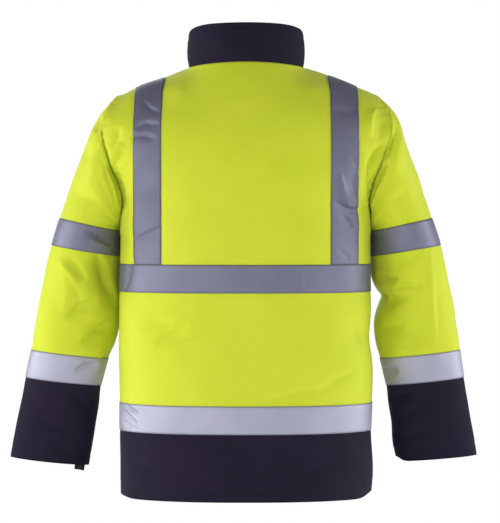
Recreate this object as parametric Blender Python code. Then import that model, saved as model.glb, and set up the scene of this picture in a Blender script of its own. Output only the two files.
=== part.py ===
"""Hi-vis work jacket, filled out as it is worn, with no wearer inside.

The origin is the centre of the neck opening, at the height of the neck points. +Z is up, the front
faces -Y and the wearer's left is +X. Lengths are metres.

The torso is a stack of flattened ovals, cut off by the armholes. Above the blades each column of
points runs on over the shoulder ridge, up to the shoulder seam or the neckline. Each sleeve starts
at its armhole and goes through the rings of a table. Every panel is a slice of one of these grids
of points, given a wall inwards. A tape is a slice of the same grid, moved out.
"""
import math

import bmesh
import bpy
import numpy as np
from mathutils import Matrix, Vector

# ---- Cloth, seams and tapes
BODY_CLOTH = 0.003
COLLAR_CLOTH = 0.0045
TAPE_CLOTH = 0.0008
SEAM_GAP = 0.0003
TAPE_LIFT = 0.0003
TAPE_WIDTH = 0.050
SEAM_UNDER_TAPE = 0.006

# ---- Heights
HEM = -0.7685
WAIST_TAPE = -0.650
CHEST_TAPE = -0.402
UNDERARM = -0.265
BLADE = -0.150
PANEL_SEAM = WAIST_TAPE + SEAM_UNDER_TAPE
WAIST_TAPE_TOP = WAIST_TAPE + TAPE_WIDTH
CHEST_TAPE_TOP = CHEST_TAPE + TAPE_WIDTH

# ---- Places across the torso
ZIP_EDGE = 0.007
NECK_COLUMN = 0.125
SHOULDER_TAPE_IN = 0.149
SHOULDER_TAPE_OUT = SHOULDER_TAPE_IN + TAPE_WIDTH

# ---- Neck and shoulders
NECK_HALF_WIDTH = 0.103
SHOULDER_END = Vector((0.228, -0.005, -0.049))
SHOULDER_CROWN = 0.004
ARMHOLE_HALF_DEPTH = 0.085
OVAL = 2.3
NECK = {
    "back": {"depth": 0.080, "centre_height": 0.007, "slope": 60.0},
    "front": {"depth": 0.095, "centre_height": -0.055, "slope": 62.0},
}
SIDE_SIGN = {"back": 1, "front": -1}

# ---- Torso ovals: height, half width to the left and to the right, depth behind and in front
TORSO = {
    "height": (-0.7685, -0.717, -0.650, -0.600, -0.530, -0.486, -0.440, -0.386, -0.300, -0.265),
    "left": (0.2262, 0.2262, 0.2268, 0.2270, 0.2284, 0.2286, 0.2282, 0.2270, 0.2255, 0.2250),
    "right": (0.2275, 0.2284, 0.2250, 0.2266, 0.2275, 0.2218, 0.2248, 0.2236, 0.2235, 0.2235),
    "back": (0.1480, 0.1470, 0.1455, 0.1450, 0.1455, 0.1460, 0.1470, 0.1485, 0.1500, 0.1500),
    "front": (0.1540, 0.1535, 0.1525, 0.1520, 0.1525, 0.1535, 0.1545, 0.1550, 0.1530, 0.1505),
}
# ---- The ovals between underarm and blades, which grow wider than the armhole that cuts them
YOKE = {
    "height": (-0.243, -0.2176, -0.1855, -0.150),
    "back_width": (0.2280, 0.2460, 0.2710, 0.2915),
    "front_width": (0.2280, 0.2400, 0.2600, 0.2770),
    "back": (0.1500, 0.1495, 0.1470, 0.1420),
    "front": (0.1495, 0.1470, 0.1430, 0.1380),
}
# ---- Top edge of the collar, from the nape to the zip
COLLAR_TOP = {
    "y": (-0.097, -0.050, 0.000, 0.029, 0.054, 0.070),
    "z": (0.020, 0.036, 0.058, 0.069, 0.0750, 0.077),
}
COLLAR_BULGE = 0.0015

# ---- Sleeve rings: outer and inner edge seen from behind, depth, how far forward the arm is, and how
# ---- much further the inner edge tucks in before the body. The right sleeve differs in its edges.
SLEEVE = {
    "outer_x": (0.2280, 0.2360, 0.2520, 0.2660, 0.2770, 0.2865, 0.2990, 0.3115, 0.3225, 0.3345, 0.3500,
                0.3595, 0.3665, 0.3740, 0.3800, 0.3850, 0.3880, 0.3996, 0.4068, 0.4145, 0.4215, 0.4283),
    "outer_z": (-0.0490, -0.0605, -0.0780, -0.0976, -0.1200, -0.1410, -0.1696, -0.2000, -0.2340, -0.2700,
                -0.3190, -0.3560, -0.3900, -0.4250, -0.4600, -0.4850, -0.5080, -0.5584, -0.5940, -0.6300,
                -0.6650, -0.7005),
    "inner_x": (0.2250, 0.2262, 0.2270, 0.2276, 0.2282, 0.2284, 0.2284, 0.2279, 0.2274, 0.2270, 0.2268,
                0.2268, 0.2268, 0.2262, 0.2290, 0.2375, 0.2495, 0.2628, 0.2665, 0.2725, 0.2785, 0.2850),
    "inner_z": (-0.2650, -0.2690, -0.2725, -0.2755, -0.2780, -0.2800, -0.2825, -0.2855, -0.2890, -0.2935,
                -0.3400, -0.3700, -0.4000, -0.4310, -0.4640, -0.4950, -0.5230, -0.5728, -0.6050, -0.6400,
                -0.6745, -0.7120),
    "right_outer": (0.0, 0.0080, 0.0080, 0.0040, 0.0015, 0.0005, 0.0, 0.0, 0.0, 0.0, 0.0, 0.0, 0.0, 0.0,
                    -0.0005, -0.0010, -0.0010, -0.0050, -0.0058, -0.0078, -0.0080, -0.0090),
    "right_inner": (0.0, 0.0, 0.0, -0.0008, -0.0014, -0.0018, -0.0020, -0.0020, -0.0020, -0.0020,
                    -0.0020, -0.0012, 0.0036, 0.0083, 0.0025, -0.0025, -0.0070, -0.0080, -0.0082,
                    -0.0090, -0.0130, -0.0135),
    "depth": (0.0870, 0.0875, 0.0885, 0.0890, 0.0895, 0.0900, 0.0900, 0.0895, 0.0890, 0.0880, 0.0850,
              0.0815, 0.0780, 0.0720, 0.0665, 0.0615, 0.0570, 0.0515, 0.0470, 0.0440, 0.0415, 0.0400),
    "centre_y": (0.0, 0.0, 0.0, 0.0, 0.0, 0.0, 0.0, -0.001, -0.002, -0.003, -0.006,
                 -0.009, -0.012, -0.016, -0.020, -0.024, -0.028, -0.033, -0.037, -0.041, -0.044, -0.047),
    "tuck": (0.0, 0.0, -0.002, -0.004, -0.006, -0.008, -0.012, -0.019, -0.025, -0.030, -0.035, -0.036,
             -0.036, -0.034, -0.028, -0.015, 0.0, 0.0, 0.0, 0.0, 0.0, 0.0),
    "left_outer_drop": (0.0, 0.0, 0.0, 0.0, 0.0, 0.0, 0.0, 0.0, 0.0, 0.0, 0.0, 0.0, 0.0, 0.0, 0.0, 0.0, 0.0,
                        0.0, -0.0008, -0.0016, -0.0025, -0.0034),
    "left_inner_drop": (0.0, 0.0, 0.0, 0.0, 0.0, 0.0, 0.0, 0.0, 0.0, 0.0, 0.0, 0.0, 0.0, 0.0, 0.0, 0.0, 0.0,
                        0.0, -0.0015, -0.0032, -0.0052, -0.0070),
}
SLEEVE_RINGS = len(SLEEVE["outer_x"])
ARM_TAPE_RINGS = (9, 10)
WRIST_TAPE_RINGS = (16, 17)
CUFF_SEAM_RING = WRIST_TAPE_RINGS[1] - SEAM_UNDER_TAPE / TAPE_WIDTH
ARMHOLE_FADE_RINGS = 8.0

# ---- The largest folds: where they lie on the cloth, seen from behind, their direction, size and depth
SLEEVE_FOLDS = {
    "x": (0.232, 0.290, 0.258, -0.262, -0.300),
    "z": (-0.372, -0.428, -0.468, -0.415, -0.478),
    "direction": (28.0, -14.0, 24.0, -30.0, 18.0),
    "length": (0.075, 0.080, 0.070, 0.085, 0.090),
    "width": (0.022, 0.024, 0.022, 0.024, 0.026),
    "trough": (0.0035, 0.0040, 0.0035, 0.0045, 0.0035),
}
TORSO_FOLDS = {
    "x": (0.135, -0.195),
    "z": (-0.470, -0.470),
    "direction": (40.0, -42.0),
    "length": (0.110, 0.100),
    "width": (0.034, 0.032),
    "trough": (0.0020, 0.0020),
}

# ---- Zip
ZIP_CHAIN_IN = 0.00015
ZIP_CHAIN_OUT = 0.004
ZIP_CHAIN_FACE = 0.001
ZIP_TAPE_OUT = 0.015
ZIP_TAPE_CLOTH = 0.001
SLIDER_HEIGHT = 0.004
SLIDER_WIDTH = 0.009
SLIDER_LENGTH = 0.0125
SLIDER_FACE = 0.0022
BRIDGE_WIDTH = 0.0024
BRIDGE_LENGTH = 0.0076
BRIDGE_BAR = 0.0012
BRIDGE_GAP = 0.0028
PULL_WIDTH = 0.0070
PULL_LENGTH = 0.0270
PULL_THICK = 0.0014
PULL_BAR = 0.0014
PULL_WINDOW_WIDTH = 0.0032
PULL_WINDOW_LENGTH = 0.0044

# ---- Strap end below the left cuff
STRAP_COLUMNS = (1.7, 2.0, 2.9)
STRAP_HANG = 0.0140
STRAP_CLOTH = 0.0020

# ---- Fineness of the grids
RIM_DIRECTION = Vector((0.31, 0.52, 0.79))
YOKE_STEPS = 5
RISE_STEPS = 6
SIDE_STEPS = 4
NECK_STEPS = 5


# ---------------------------------------------------------------- small helpers
def smooth_through(places, values, at):
    """Values at some places, on a smooth curve through a table's rows."""
    places = np.asarray(places, dtype=float)
    values = np.asarray(values, dtype=float)
    slopes = np.gradient(values, places)
    at = np.asarray(at, dtype=float)
    row = np.clip(np.searchsorted(places, at) - 1, 0, len(places) - 2)
    span = places[row + 1] - places[row]
    t = (at - places[row]) / span
    start = (1 + 2 * t) * (1 - t) ** 2 * values[row] + t * (1 - t) ** 2 * span * slopes[row]
    end = t ** 2 * (3 - 2 * t) * values[row + 1] + t ** 2 * (t - 1) * span * slopes[row + 1]
    return start + end


def smooth_step(t):
    """0 to 1, level at both ends."""
    t = np.clip(t, 0.0, 1.0)
    return t * t * (3 - 2 * t)


def oval_point(width, depth, turn):
    """A point on a flattened oval, turned from the centre line towards the side seam."""
    reach = np.abs(np.sin(turn)) ** (2 / OVAL)
    return width * reach, depth * np.abs(np.cos(turn)) ** (2 / OVAL)


def fold_troughs(folds, x, z):
    """How far the largest folds sink the cloth at a place seen from behind."""
    depth = np.zeros(np.broadcast(x, z).shape)
    for fold_x, fold_z, direction, length, width, trough in zip(*folds.values()):
        along_x = math.cos(math.radians(direction))
        along_z = math.sin(math.radians(direction))
        along = (x - fold_x) * along_x + (z - fold_z) * along_z
        across = (z - fold_z) * along_x - (x - fold_x) * along_z
        depth = depth + trough * np.exp(-(along * 2 / length) ** 2 - (across * 2 / width) ** 2)
    return depth


# ---------------------------------------------------------------- torso
def torso_widths(side, is_left, height):
    """Half width of the oval at each height, on one hand."""
    places = TORSO["height"] + YOKE["height"]
    widths = TORSO["left" if is_left else "right"] + YOKE[side + "_width"]
    return smooth_through(places, widths, height)


def torso_depths(side, height):
    """Depth of the oval at each height, behind or in front."""
    return smooth_through(TORSO["height"] + YOKE["height"], TORSO[side] + YOKE[side], height)


def armhole_depths(height):
    """How far behind or in front of the side seam the armhole cuts each oval."""
    drop = np.clip((BLADE - np.asarray(height)) / (BLADE - UNDERARM), 0.0, 1.0)
    return ARMHOLE_HALF_DEPTH * np.sqrt(1 - drop ** 2)


def torso_ovals(side, columns, heights):
    """Rows of points up to the blades. A column is its own x as far as the shoulder tape's outer
    edge, and beyond it the part of the way from there to the side seam or armhole."""
    height = np.asarray(heights, dtype=float)[:, None]
    column = np.asarray(columns, dtype=float)[None, :]
    reach = np.abs(column)
    width = np.where(column >= 0, torso_widths(side, True, height), torso_widths(side, False, height))
    depth = torso_depths(side, height)
    edge_turn = np.arccos((armhole_depths(height) / depth) ** (OVAL / 2))
    tape_turn = np.arcsin((SHOULDER_TAPE_OUT / width) ** (OVAL / 2))
    flat_turn = np.arcsin(np.minimum(reach / width, 1.0) ** (OVAL / 2))
    beyond = np.clip(reach - SHOULDER_TAPE_OUT, 0.0, 1.0)
    turn = np.where(beyond > 0, tape_turn + (edge_turn - tape_turn) * beyond, flat_turn)
    x, y = oval_point(width, depth, turn)
    x = np.sign(column) * x
    y = y - fold_troughs(TORSO_FOLDS, x, height) * np.minimum(y / depth * 2, 1.0)
    return np.stack([x, SIDE_SIGN[side] * y, height + 0 * x], axis=2)


def neck_angle(column):
    """Angle round the neckline, 0 at the centre and a quarter turn at the neck point."""
    t = np.clip(np.abs(column) / NECK_COLUMN, 0.0, 1.0)
    start = 2 / math.pi * NECK_COLUMN / NECK_HALF_WIDTH
    return math.pi / 2 * (start * t + (1 - start) * t * t)


def neck_point(side, column):
    """The neckline's point over a column."""
    angle = neck_angle(column)
    x = NECK_HALF_WIDTH * np.sin(angle)
    y = SIDE_SIGN[side] * NECK[side]["depth"] * np.cos(angle)
    return x, y, NECK[side]["centre_height"] * np.cos(angle) ** 2


def shoulder_point(x):
    """The shoulder seam's point at a distance from the centre."""
    t = (x - NECK_HALF_WIDTH) / (SHOULDER_END.x - NECK_HALF_WIDTH)
    return SHOULDER_END.y * t, SHOULDER_END.z * t + SHOULDER_CROWN * 4 * t * (1 - t)


def torso_top(side, column):
    """Where each column ends, on the neckline or the shoulder seam."""
    reach = np.abs(column)
    neck_x, neck_y, neck_z = neck_point(side, column)
    to_tape = (reach - NECK_COLUMN) / (SHOULDER_TAPE_IN - NECK_COLUMN)
    seam_x = NECK_HALF_WIDTH + (SHOULDER_TAPE_IN - NECK_HALF_WIDTH) * to_tape
    seam_x = np.where(reach > SHOULDER_TAPE_IN, reach, seam_x)
    beyond = np.clip(reach - SHOULDER_TAPE_OUT, 0.0, 1.0)
    outer_x = SHOULDER_TAPE_OUT + (SHOULDER_END.x - SHOULDER_TAPE_OUT) * beyond
    seam_x = np.where(reach > SHOULDER_TAPE_OUT, outer_x, seam_x)
    seam_y, seam_z = shoulder_point(seam_x)
    is_neck = reach <= NECK_COLUMN
    x = np.sign(column) * np.where(is_neck, neck_x, seam_x)
    return np.stack([x, np.where(is_neck, neck_y, seam_y), np.where(is_neck, neck_z, seam_z)], axis=-1)


def torso_rises(side, columns, rises):
    """Rows above the blades, a share of the way up each column's arc over the shoulder."""
    column = np.asarray(columns, dtype=float)
    step = 0.002
    start = torso_ovals(side, column, [BLADE])[0]
    lean = (start - torso_ovals(side, column, [BLADE - step])[0]) / step
    top = torso_top(side, column)
    chord = np.linalg.norm(top - start, axis=1)
    quarter = 1.657
    neck_share = np.where(np.abs(column) <= NECK_COLUMN, np.cos(neck_angle(column)), 0.0)
    start_pull = (1 - neck_share) * quarter * (top[:, 2] - start[:, 2]) + neck_share * 1.03 * chord
    end_pull = (1 - neck_share) * quarter * np.abs(start[:, 1] - top[:, 1]) + neck_share * 1.03 * chord
    slope = np.radians(NECK[side]["slope"] * neck_share)
    beyond = np.clip(np.abs(column) - SHOULDER_TAPE_OUT, 0.0, 1.0)
    ahead = np.stack([-0.2 * np.sign(column) * beyond, -SIDE_SIGN[side] * np.cos(slope), np.sin(slope)], axis=1)
    t = np.asarray(rises, dtype=float)[:, None, None]
    out = (1 + 2 * t) * (1 - t) ** 2 * start + t * (1 - t) ** 2 * lean * start_pull[:, None]
    return out + t ** 2 * (3 - 2 * t) * top + t ** 2 * (t - 1) * ahead * end_pull[:, None]


def torso_grid(side, columns, heights, rises):
    """The whole side of the torso as one grid of points, hem row first."""
    return np.concatenate([torso_ovals(side, columns, heights), torso_rises(side, columns, rises)])


def torso_columns():
    """Column places from the zip edge or centre out to the side seam."""
    neck = [NECK_COLUMN * step / NECK_STEPS for step in range(1, NECK_STEPS + 1)]
    tape = [SHOULDER_TAPE_IN, (SHOULDER_TAPE_IN + SHOULDER_TAPE_OUT) / 2, SHOULDER_TAPE_OUT]
    side = [SHOULDER_TAPE_OUT + step / SIDE_STEPS for step in range(1, SIDE_STEPS + 1)]
    return neck + tape + side


def torso_heights():
    """Row heights from the hem up to the blades, with a row on every edge of seam and tape."""
    hem = [HEM, -0.735, -0.692, WAIST_TAPE]
    waist = [PANEL_SEAM, WAIST_TAPE_TOP]
    middle = [WAIST_TAPE_TOP + (CHEST_TAPE - WAIST_TAPE_TOP) * step / 5 for step in range(1, 6)]
    chest = [CHEST_TAPE_TOP + (UNDERARM - CHEST_TAPE_TOP) * step / 3 for step in range(0, 4)]
    turns = [math.pi / 2 * step / YOKE_STEPS for step in range(1, YOKE_STEPS + 1)]
    yoke = [BLADE - (BLADE - UNDERARM) * math.cos(turn) for turn in turns]
    return hem + waist + middle + chest + yoke


# ---------------------------------------------------------------- sleeves and collar
def sleeve_grid(rim, is_left, rings):
    """Rings of a left sleeve, from the armhole's closed rim down. The rim's own shape fades into
    the table's ovals over the first rings. A right sleeve is made the same way and mirrored."""
    table = {name: smooth_through(range(SLEEVE_RINGS), SLEEVE[name], rings) for name in SLEEVE}
    if is_left:
        table["outer_z"] = table["outer_z"] + table["left_outer_drop"]
        table["inner_z"] = table["inner_z"] + table["left_inner_drop"]
    else:
        table["outer_x"] = table["outer_x"] + table["right_outer"]
        table["inner_x"] = table["inner_x"] + table["right_inner"]
    half_height = (SLEEVE["outer_z"][0] - SLEEVE["inner_z"][0]) / 2
    mid_height = (SLEEVE["outer_z"][0] + SLEEVE["inner_z"][0]) / 2
    turn = np.arctan2(rim[:, 1] / SLEEVE["depth"][0], (rim[:, 2] - mid_height) / half_height)
    turn[0] = math.pi
    turn[-1] = -math.pi

    def oval(name, swing):
        return (name[0] + name[1])[:, None] / 2 + (name[0] - name[1])[:, None] / 2 * swing

    x = oval((table["outer_x"], table["inner_x"]), np.cos(turn))
    z = oval((table["outer_z"], table["inner_z"]), np.cos(turn))
    y = table["centre_y"][:, None] + table["depth"][:, None] * np.sin(turn)
    y = y + table["tuck"][:, None] * (1 - np.cos(turn)) / 2
    first_x = oval(([SLEEVE["outer_x"][0]] * np.ones(1), [SLEEVE["inner_x"][0]] * np.ones(1)), np.cos(turn))[0]
    first = np.stack([first_x, SLEEVE["depth"][0] * np.sin(turn), mid_height + half_height * np.cos(turn)], axis=1)
    fade = 1 - smooth_step(np.asarray(rings, dtype=float) / ARMHOLE_FADE_RINGS)
    points = np.stack([x, y, z], axis=2) + (rim - first)[None] * fade[:, None, None]
    return sink_sleeve_folds(points, 1 if is_left else -1)


def sink_sleeve_folds(points, hand):
    """The largest folds sink the back half of a sleeve, and nothing at its armhole."""
    centre = points.mean(axis=1, keepdims=True)
    outward = points - centre
    outward = outward / np.linalg.norm(outward, axis=2, keepdims=True)
    behind = smooth_step(outward[..., 1:2] * 1.4)
    trough = fold_troughs(SLEEVE_FOLDS, hand * points[..., 0:1], points[..., 2:3])
    away_from_armhole = smooth_step((UNDERARM - 0.02 - points[..., 2:3]) / 0.06)
    return points - outward * trough * behind * away_from_armhole


def mirrored(grid):
    """A grid on the other hand, with its columns turned round so that it still faces outwards."""
    return grid[:, ::-1] * np.array([-1.0, 1.0, 1.0])


def collar_grid(neckline, steps):
    """The stand collar, from the neckline up, round from one zip edge to the other."""
    share = np.linspace(0, 1, steps + 1)[:, None]
    centre = np.where(neckline[:, 1] >= 0, 1, 0)
    deep = np.where(centre == 1, 0.070 / NECK["back"]["depth"], 0.097 / NECK["front"]["depth"])
    top_y = neckline[:, 1] * deep
    top_z = smooth_through(COLLAR_TOP["y"], COLLAR_TOP["z"], top_y)
    bulge = COLLAR_BULGE * np.sin(math.pi * share)
    out_x = neckline[:, 0] / NECK_HALF_WIDTH
    out_y = neckline[:, 1] / NECK["front"]["depth"]
    x = neckline[:, 0] + bulge * out_x
    y = neckline[:, 1] * (1 - share) + top_y * share + bulge * out_y
    z = neckline[:, 2] * (1 - share) + top_z * share
    return np.stack([x, y, z], axis=2)


# ---------------------------------------------------------------- normals
def grid_normals(points, wraps=False):
    """Outward unit normals of a grid."""
    across = np.gradient(points, axis=1)
    if wraps:
        across[:, 0] = across[:, -1] = (points[:, 1] - points[:, -2]) / 2
    normals = np.cross(across, np.gradient(points, axis=0))
    return normals / np.linalg.norm(normals, axis=2, keepdims=True)


def share_seam_normals(grids, normals):
    """Gives the points that two grids share at a seam one common normal, so both walls end on one
    plane there."""
    sums = {}
    for name, points in grids.items():
        for row, column in rim_places(points):
            key = tuple(np.round(points[row, column], 6) + 0.0)
            sums[key] = sums.get(key, 0) + normals[name][row, column]
    for name, points in grids.items():
        for row, column in rim_places(points):
            total = sums[tuple(np.round(points[row, column], 6) + 0.0)]
            normals[name][row, column] = total / np.linalg.norm(total)


def rim_places(points):
    """The rows and columns of a grid's outer points."""
    rows, columns = points.shape[:2]
    for row in range(rows):
        for column in range(columns):
            if row in (0, rows - 1) or column in (0, columns - 1):
                yield row, column


# ---------------------------------------------------------------- solids
def material(name, colour, roughness, metallic=0.0):
    made = bpy.data.materials.get(name) or bpy.data.materials.new(name)
    made.use_nodes = True
    shader = made.node_tree.nodes["Principled BSDF"]
    shader.inputs["Base Color"].default_value = (*colour, 1.0)
    shader.inputs["Roughness"].default_value = roughness
    shader.inputs["Metallic"].default_value = metallic
    return made


def finished(name, body, finish):
    """Makes a mesh object of a bmesh, with its faces pointing outwards."""
    bmesh.ops.recalc_face_normals(body, faces=body.faces[:])
    mesh = bpy.data.meshes.new(name)
    body.to_mesh(mesh)
    body.free()
    mesh.materials.append(finish)
    piece = bpy.data.objects.new(name, mesh)
    bpy.context.scene.collection.objects.link(piece)
    return piece


def inset(points, wraps):
    """A grid drawn in by half a seam gap at its edges."""
    drawn = points.copy()
    edges = [(0, 1), (-1, -2)]
    for edge, inner in edges:
        way = points[inner] - points[edge]
        drawn[edge] += way / np.linalg.norm(way, axis=1, keepdims=True) * SEAM_GAP / 2
    if wraps:
        return drawn
    for edge, inner in edges:
        way = points[:, inner] - points[:, edge]
        drawn[:, edge] += way / np.linalg.norm(way, axis=1, keepdims=True) * SEAM_GAP / 2
    return drawn


def wall(name, points, normals, thick, finish, lift=0.0, wraps=False):
    """A closed wall of cloth: a grid of outer points, and the same points moved in."""
    points = inset(points, wraps) + normals * lift
    rows, columns = points.shape[:2]
    outer = (points + normals * (thick if lift else 0.0)).reshape(-1, 3)
    inner = (points - normals * (0.0 if lift else thick)).reshape(-1, 3)
    cloth = bmesh.new()
    place = cloth.verts.layers.int.new("place")
    bmesh.ops.create_grid(cloth, x_segments=columns - 1, y_segments=rows - 1, size=1)
    for index, corner in enumerate(cloth.verts):
        corner[place] = index
        corner.co = outer[index]
    bmesh.ops.triangulate(cloth, faces=cloth.faces[:], quad_method="FIXED")
    if wraps:
        bmesh.ops.remove_doubles(cloth, verts=cloth.verts[:], dist=1e-5)
    grown = bmesh.ops.extrude_face_region(cloth, geom=cloth.faces[:], use_keep_orig=True)
    inner_corners = {corner for corner in grown["geom"] if isinstance(corner, bmesh.types.BMVert)}
    for corner in inner_corners:
        corner.co = inner[corner[place]]
    split_rims(cloth, inner_corners)
    return finished(name, cloth, finish)


def split_rims(cloth, inner_corners):
    """Splits each four-cornered rim face from its outer corner further along one fixed direction,
    so that the walls on both sides of a seam end on the same triangles."""
    for face in [face for face in cloth.faces if len(face.verts) == 4]:
        outer = [corner for corner in face.verts if corner not in inner_corners]
        far = max(outer, key=lambda corner: corner.co.dot(RIM_DIRECTION))
        across = [corner for corner in face.verts
                  if corner in inner_corners and not any(far in edge.verts for edge in corner.link_edges
                                                         if edge in face.edges[:])]
        bmesh.utils.face_split(face, far, across[0])


def loft(name, sections, finish):
    """A closed bar through equal sections, each a ring of points."""
    rings, count = sections.shape[:2]
    closed = np.concatenate([sections, sections[:, :1]], axis=1).reshape(-1, 3)
    bar = bmesh.new()
    bmesh.ops.create_grid(bar, x_segments=count, y_segments=rings - 1, size=1)
    for index, corner in enumerate(bar.verts):
        corner.co = closed[index]
    bmesh.ops.remove_doubles(bar, verts=bar.verts[:], dist=1e-6)
    rims = [edge for edge in bar.edges if edge.is_boundary]
    bmesh.ops.holes_fill(bar, edges=rims, sides=0)
    return finished(name, bar, finish)


def block(body, low, high):
    """A box between two corners, added to a bmesh."""
    low = Vector(low)
    high = Vector(high)
    place = Matrix.Translation((low + high) / 2) @ Matrix.Diagonal((*(high - low), 1.0))
    return bmesh.ops.create_cube(body, size=1.0, matrix=place)["verts"]


def cutter(name, low, high):
    """A box that cuts a window and isn't part of the jacket."""
    body = bmesh.new()
    block(body, low, high)
    piece = finished(name, body, material("cutter", (0.5, 0.5, 0.5), 0.5))
    piece.hide_render = True
    piece.display_type = "WIRE"
    return piece


def cut(piece, tool):
    window = piece.modifiers.new(tool.name, "BOOLEAN")
    window.operation = "DIFFERENCE"
    window.object = tool


# ---------------------------------------------------------------- zip
def zip_half(name, hand, edge, edge_normals, cloth, finish):
    """One side of the closed zip: a row of teeth between the fronts, and its tape behind them. The
    front's edge is two columns of its points, between which the tape lies along the cloth."""
    sections = []
    for (point, next_point), normal, thick in zip(edge, edge_normals, cloth):
        out = np.array([0.0, normal[1], normal[2]]) / np.hypot(normal[1], normal[2])
        base = np.array([0.0, point[1], point[2]])
        share = (ZIP_TAPE_OUT - point[0]) / (next_point[0] - point[0])
        sweep = (next_point - point) * share * np.array([0.0, 1.0, 1.0])
        tape_face = thick + SEAM_GAP
        tape_back = tape_face + ZIP_TAPE_CLOTH
        corners = (
            (ZIP_CHAIN_IN, ZIP_CHAIN_FACE, 0.0), (ZIP_CHAIN_OUT, ZIP_CHAIN_FACE, 0.0), (ZIP_CHAIN_OUT, tape_face, 0.0),
            (point[0], tape_face, 0.0), (ZIP_TAPE_OUT, tape_face, 1.0), (ZIP_TAPE_OUT, tape_back, 1.0),
            (ZIP_CHAIN_IN, tape_back, 0.0),
        )
        sections.append([base + np.array([hand * x, 0.0, 0.0]) + sweep * swept - out * deep
                         for x, deep, swept in corners])
    return loft(name, np.array(sections), finish)


def zip_slider(face_y, height, finish):
    """The slider: a body before the teeth, and the bridge that the pull tab swings on. Returns
    the hinge's place."""
    body_out = face_y - SLIDER_FACE
    outline = (
        (-SLIDER_WIDTH / 2, SLIDER_LENGTH / 2), (SLIDER_WIDTH / 2, SLIDER_LENGTH / 2),
        (SLIDER_WIDTH / 2, 0.0), (SLIDER_WIDTH / 3, -SLIDER_LENGTH / 2),
        (-SLIDER_WIDTH / 3, -SLIDER_LENGTH / 2), (-SLIDER_WIDTH / 2, 0.0),
    )
    back = face_y + ZIP_CHAIN_FACE - SEAM_GAP
    plate = bmesh.new()
    corners = [plate.verts.new((x, back, height + z)) for x, z in outline]
    grown = bmesh.ops.extrude_face_region(plate, geom=[plate.faces.new(corners)], use_keep_orig=True)
    for corner in grown["geom"]:
        if isinstance(corner, bmesh.types.BMVert):
            corner.co.y = body_out
    slider = finished("zip_slider", plate, finish)

    sunk = 0.0004
    bridge = bmesh.new()
    top = body_out - BRIDGE_GAP - BRIDGE_BAR
    half = BRIDGE_LENGTH / 2
    block(bridge, (-BRIDGE_WIDTH / 2, top, height - half), (BRIDGE_WIDTH / 2, body_out + sunk, height + half))
    bridge_piece = finished("bridge_shape", bridge, finish)
    bridge_piece.hide_render = True
    bridge_piece.display_type = "WIRE"
    join = slider.modifiers.new("bridge", "BOOLEAN")
    join.operation = "UNION"
    join.object = bridge_piece
    window = half - BRIDGE_BAR
    cut(slider, cutter("bridge_window", (-BRIDGE_WIDTH, body_out - BRIDGE_GAP, height - window),
                       (BRIDGE_WIDTH, body_out, height + window)))
    return Vector((0.0, body_out - BRIDGE_GAP / 2, height))


def zip_pull(hinge, finish):
    """The pull tab, hanging from its bar through the bridge. Its origin is on the hinge's axis."""
    half = PULL_WIDTH / 2
    thick = PULL_THICK / 2
    waist = half * 0.8
    outline = (
        (-waist, PULL_BAR / 2), (waist, PULL_BAR / 2), (waist, -0.006), (half, -0.010), (half, -PULL_LENGTH + 0.002),
        (half * 0.6, -PULL_LENGTH), (-half * 0.6, -PULL_LENGTH), (-half, -PULL_LENGTH + 0.002), (-half, -0.010),
        (-waist, -0.006),
    )
    tab = bmesh.new()
    corners = [tab.verts.new((x, -thick, z)) for x, z in outline]
    grown = bmesh.ops.extrude_face_region(tab, geom=[tab.faces.new(corners)], use_keep_orig=True)
    for corner in grown["geom"]:
        if isinstance(corner, bmesh.types.BMVert):
            corner.co.y = thick
    pull = finished("zip_pull", tab, finish)
    pull.location = hinge
    window = cutter("pull_window", (-PULL_WINDOW_WIDTH / 2, -PULL_THICK, -PULL_BAR / 2 - PULL_WINDOW_LENGTH),
                    (PULL_WINDOW_WIDTH / 2, PULL_THICK, -PULL_BAR / 2))
    window.location = hinge
    cut(pull, window)
    return pull


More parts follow.
